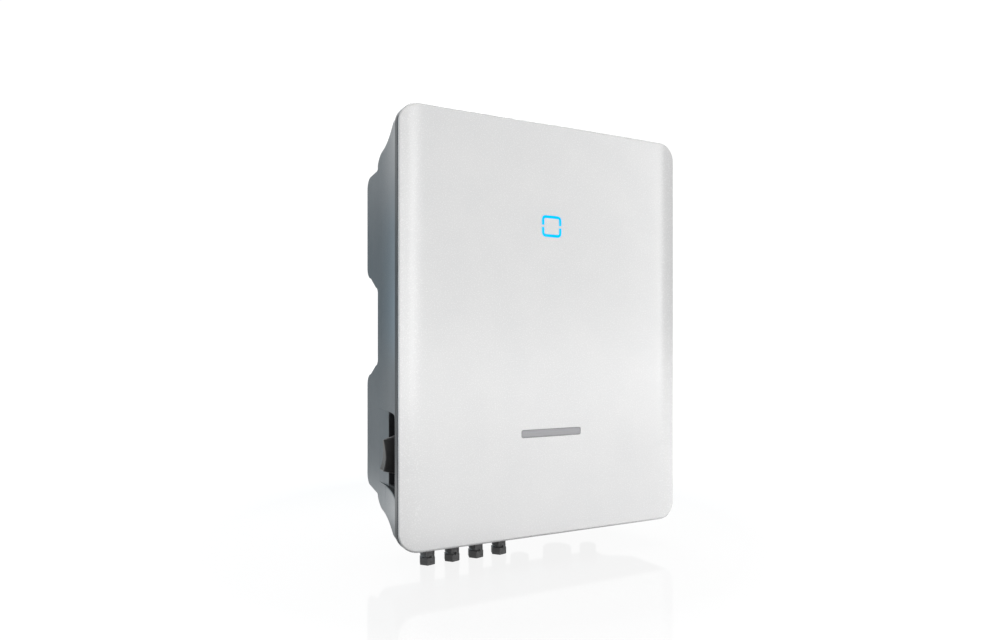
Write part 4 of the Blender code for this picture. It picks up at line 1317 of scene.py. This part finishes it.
def build_heat_sink():
    """Fins with round tips and round roots, with a notch for the hanger bracket."""
    low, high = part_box("heat_sink")
    front = low.y - FRONT
    half_width = high.x
    pitch = (2 * half_width - FIN_THICKNESS) / (FIN_COUNT - 1)
    taper = 0.4 * MM
    root = 1.6 * MM
    tip = 0.9 * MM
    outline = [(half_width, front, 0.5 * MM), (-half_width, front, 0.5 * MM)]
    for fin in range(FIN_COUNT):
        left = -half_width + fin * pitch
        right = left + FIN_THICKNESS
        if fin:
            outline.append((left, SINK_BASE_REAR, root))
        outline += [(left + taper, FIN_REAR, tip), (right - taper, FIN_REAR, tip)]
        if fin < FIN_COUNT - 1:
            outline.append((right, SINK_BASE_REAR, root))
    shape = add_prism(fillet(outline, tip, 4), "Z", (low.z, high.z), 0.25 * MM, 2)
    sink = new_object("finned_heat_sink", shape, LOOKS["aluminium"])
    x_range = (-half_width - MM, half_width + MM)
    combine(sink, add_box(x_range, (SINK_BASE_REAR, FIN_REAR + MM), HANGER_ROOM))
    holes = bmesh.new()
    for number in (1, 2):
        node = "hanger_screw_%d" % number
        place = middle(node)
        place.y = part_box(node)[0].y
        add_cylinder(SCREW_HOLE, place, BACKWARD, 9 * MM, shape=holes)
    combine(sink, holes)
    stand_for(sink, "heat_sink")


def build_hanger():
    """Bent sheet: a leg on the heat sink, a shelf and a leg that hangs behind the hooks."""
    low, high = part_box("hanger_bracket")
    front = low.y - FRONT
    rear = high.y - FRONT
    drop = HOOK_BASE + SHEET + GAP
    inner = 1.2 * MM
    outer = inner + SHEET
    outline = [
        (front, low.z, 0.3 * MM),
        (front + SHEET, low.z, 0.3 * MM),
        (front + SHEET, high.z - SHEET, inner),
        (rear - SHEET, high.z - SHEET, inner),
        (rear - SHEET, drop, 0.3 * MM),
        (rear, drop, 0.3 * MM),
        (rear, high.z, outer),
        (front, high.z, outer),
    ]
    shape = add_prism(fillet(outline, inner, 6), "X", (low.x, high.x), 0.3 * MM, 2)
    hanger = new_object("hanger_sheet", shape, ZINC_LOOK)
    holes = bmesh.new()
    for name in ("hanger_screw_1", "hanger_screw_2", "lock_screw_1", "lock_screw_2"):
        screw = middle(name)
        start = front - MM if name.startswith("hanger") else rear - SHEET - MM
        add_cylinder(SCREW_HOLE, at(screw.x, start, screw.z), BACKWARD, 6 * MM, shape=holes)
    combine(hanger, holes)
    stand_for(hanger, "hanger_bracket")


def build_wall_bracket():
    """The plate on the wall, with two bent hooks and six fixing holes."""
    low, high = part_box("wall_bracket")
    rear = high.y - FRONT
    half_height = (high.z - low.z) / 2
    centre_z = middle("wall_bracket").z
    edge = 0.35 * MM
    front = rear - SHEET
    rings = []
    for shrink, depth in ((0, rear), (0, front + edge), (edge * 0.3, front + edge * 0.3), (edge, front)):
        half_width = high.x - shrink
        rings.append(rounded_ring(half_width, half_height - shrink, 12 * MM - shrink, depth, centre_z))
    bracket = new_object("wall_plate", add_loft(rings), ZINC_LOOK)
    lip = low.y - FRONT
    inner = 1.0 * MM
    hook = [
        (rear - SHEET / 2, HOOK_BASE, 0),
        (rear - SHEET / 2, HOOK_BASE + SHEET, 0),
        (lip + SHEET, HOOK_BASE + SHEET, inner),
        (lip + SHEET, HOOK_BASE + HOOK_HEIGHT, 0.4 * MM),
        (lip, HOOK_BASE + HOOK_HEIGHT, 0.4 * MM),
        (lip, HOOK_BASE, inner + SHEET),
    ]
    holes = bmesh.new()
    for number in (1, 2):
        screw = middle("lock_screw_%d" % number)
        span = (screw.x - 20 * MM, screw.x + 20 * MM)
        combine(bracket, add_prism(fillet(hook, inner, 6), "X", span, 0.3 * MM, 2), "UNION")
        add_cylinder(SCREW_HOLE, at(screw.x, lip - MM, screw.z), BACKWARD, 6 * MM, shape=holes)
        for hole_z in WALL_HOLE_HEIGHTS:
            add_cylinder(WALL_HOLE, at(screw.x, rear - 5 * MM, hole_z), BACKWARD, 7 * MM, shape=holes)
    combine(bracket, holes)
    stand_for(bracket, "wall_bracket")


def build_screw(node, axis, head_height, head_radius):
    """A pan-head screw with a hexagon socket, in the place of its CAD node."""
    low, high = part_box(node)
    half = abs((high - low).dot(axis)) / 2
    length = 2 * half - head_height
    place = middle(node) - axis * (half - head_height)
    outline = [
        (0, -head_height),
        (head_radius * 0.86, -head_height, head_radius * 0.25),
        (head_radius, -head_height * 0.45, head_radius * 0.2),
        (head_radius, 0, 0.15 * MM),
        (2 * MM, 0, 0.1 * MM),
        (2 * MM, length, 0.5 * MM),
        (0, length),
    ]
    shape = add_turned(fillet(outline, 0.2 * MM, 4, closed=False), place, axis, 48)
    screw = new_object(node + "_head", shape, LOOKS["steel"])
    socket_start = place - axis * (head_height + MM)
    socket_depth = MM + head_height * 0.65
    combine(screw, add_cylinder(head_radius * 0.5, socket_start, axis, socket_depth, 6))
    stand_for(screw, node)


def build_fixings():
    """The hanger, the wall bracket and the outside screws."""
    build_hanger()
    build_wall_bracket()
    for number in (1, 2):
        build_screw("hanger_screw_%d" % number, FORWARD, 2.6 * MM, 4.5 * MM)
        build_screw("lock_screw_%d" % number, BACKWARD, 2.5 * MM, 4 * MM)
    build_screw("earth_screw", LEFT, 3.5 * MM, 5 * MM)


# ---------------------------------------------------------------- camera, stage and light


def build_camera():
    camera = bpy.data.objects.new("camera", bpy.data.cameras.new("camera"))
    camera.location = CAMERA_PLACE
    camera.rotation_euler = (math.radians(90), 0, -CAMERA_TURN)
    camera.data.lens = CAMERA_LENS
    camera.data.sensor_width = 36
    camera.data.shift_y = CAMERA_RISE
    camera.data.clip_start = 0.05
    bpy.context.scene.collection.objects.link(camera)
    bpy.context.scene.camera = camera


def build_floor():
    """A white glossy floor, seamless with the backdrop, with a faint mirror image close to the object.

    It shines only towards the camera, so that it doesn't wash out the underside of the object. The
    parts just ahead of and just behind the object also show in reflections, like white cards.
    """
    low, high = -FLOOR_REACH, FLOOR_REACH
    shape = bmesh.new()
    corners = ((low, low), (high, low), (high, high), (low, high))
    shape.faces.new([shape.verts.new((x, y, FLOOR_LEVEL)) for x, y in corners])
    look = Look("pale_floor")
    look.colours(look.noise(0.4, 2), (0.3, (0.050, 0.050, 0.050)), (0.7, (0.055, 0.055, 0.055)))
    look.set("Roughness", 0.9)
    look.set("Specular IOR Level", 0.0)
    look.set("Emission Color", WHITE)
    away = look.add("VectorMath", {0: look.place}, operation="LENGTH").outputs["Value"]
    rays = look.add("LightPath", {}).outputs
    seen = look.calculate("MULTIPLY", look.span(away, 0.945, 1.1, 0.45, 0.8), rays["Is Camera Ray"])
    ahead = look.span(look.along(look.place, (0.35, -0.94, 0)), 0.45, 3.2, 0.20, 0.33)
    behind = look.along(look.place, (0, 1, 0))
    near = look.span(behind, 0.0, 1.4, 0.0, 0.12)
    fade = look.span(behind, 1.0, 0.1, 0.28, 0.6)
    cards = look.calculate("MAXIMUM", ahead, look.calculate("MULTIPLY", near, fade))
    mirrored = look.calculate("MULTIPLY", cards, rays["Is Glossy Ray"])
    look.set("Emission Strength", look.calculate("ADD", seen, mirrored))
    mirror = look.add("BsdfGlossy", {"Color": WHITE, "Roughness": 0.07})
    share = look.span(away, 0.075, 0.0, 0.45, 0.8)
    mix = look.add("MixShader", {"Fac": share, 1: look.shader.outputs["BSDF"], 2: mirror.outputs["BSDF"]})
    look.put(look.tree.nodes["Material Output"].inputs["Surface"], mix.outputs["Shader"])
    new_object("floor", shape, look)


def build_world():
    """Dim even light from all round, with a white wall behind the object that the floor mirrors."""
    world = bpy.data.worlds.new("studio")
    world.use_nodes = True
    room = Nodes(world.node_tree)
    behind = world_band(room, (math.sin(CAMERA_TURN), math.cos(CAMERA_TURN), 0), 0.55, 0.7)
    above = world_band(room, (0, 0, 1), 0.17, 0.24)
    rear = world_band(room, (math.sin(REAR_GLOW_TURN), math.cos(REAR_GLOW_TURN), 0), 0.78, 0.96)
    colour = room.mixed(rear, ROOM_LIGHT, REAR_GLOW)
    colour = room.mixed(room.calculate("MULTIPLY", behind, above), colour, WHITE)
    lit = room.tree.nodes["Background"]
    room.put(lit.inputs["Color"], colour)
    backdrop = room.add("Background", {"Color": WHITE, "Strength": 1.05})
    camera_ray = room.add("LightPath", {}).outputs["Is Camera Ray"]
    shaders = {1: lit.outputs["Background"], 2: backdrop.outputs["Background"]}
    mix = room.add("MixShader", {"Fac": camera_ray, **shaders})
    room.put(room.tree.nodes["World Output"].inputs["Surface"], mix.outputs["Shader"])
    bpy.context.scene.world = world


def world_band(room, axis, start, end):
    """1 for directions near an axis and 0 away from it, with a soft step between two dot products."""
    direction = room.add("TexCoord", {}).outputs["Generated"]
    reach = room.along(direction, axis)
    return room.span(reach, 0.0, 1.0, start, end, interpolation_type="SMOOTHSTEP")


def add_softbox(name, bearing, height, distance, size, power, colour=(1, 1, 1)):
    """A soft light that faces the object. The bearing is in degrees from straight in front towards +X."""
    data = bpy.data.lights.new(name, "AREA")
    data.shape = "RECTANGLE"
    data.size, data.size_y = size
    data.energy = power
    data.color = colour
    light = bpy.data.objects.new(name, data)
    turn = math.radians(bearing)
    light.location = (distance * math.sin(turn), -distance * math.cos(turn), height)
    direction = Vector((0, FRONT / 2, 0)) - light.location
    light.rotation_euler = direction.to_track_quat("-Z", "Y").to_euler()
    bpy.context.scene.collection.objects.link(light)


def build_lights():
    """Soft lights in front, at the rear left and above, with the strips that give the edges their shine."""
    add_softbox("key", 22, 0.2, 2.2, (1.4, 1.9), 16.5)
    add_softbox("right_strip", 44, 0.2, 2.2, (0.22, 1.8), 7.5)
    add_softbox("left_strip", -2, 0.2, 2.2, (0.45, 1.8), 14.6)
    add_softbox("left_key", -20, 0.1, 2.3, (1.2, 1.2), 7)
    add_softbox("rear_left_fill", -118, 0.1, 1.7, (1.0, 1.5), 17, (0.84, 0.94, 1.0))
    add_softbox("low_left", -108, -0.14, 1.2, (0.9, 0.25), 1.2, (0.78, 0.91, 1.0))
    add_softbox("rear_top", 165, 1.7, 1.6, (1.6, 1.0), 30, (0.94, 0.98, 1.0))
    add_softbox("top", 0, 1.8, 0.1, (1.4, 0.5), 11)


def build_stage():
    """Floor, surroundings and lights, with plain display colours."""
    build_floor()
    build_world()
    build_lights()
    bpy.context.scene.view_settings.view_transform = "Standard"


paint_cad_nodes()
build_cover()
build_light()
build_nameplate()
build_tub()
build_well_lining()
build_knob()
build_outlets()
build_heat_sink()
build_fixings()
build_camera()
build_stage()
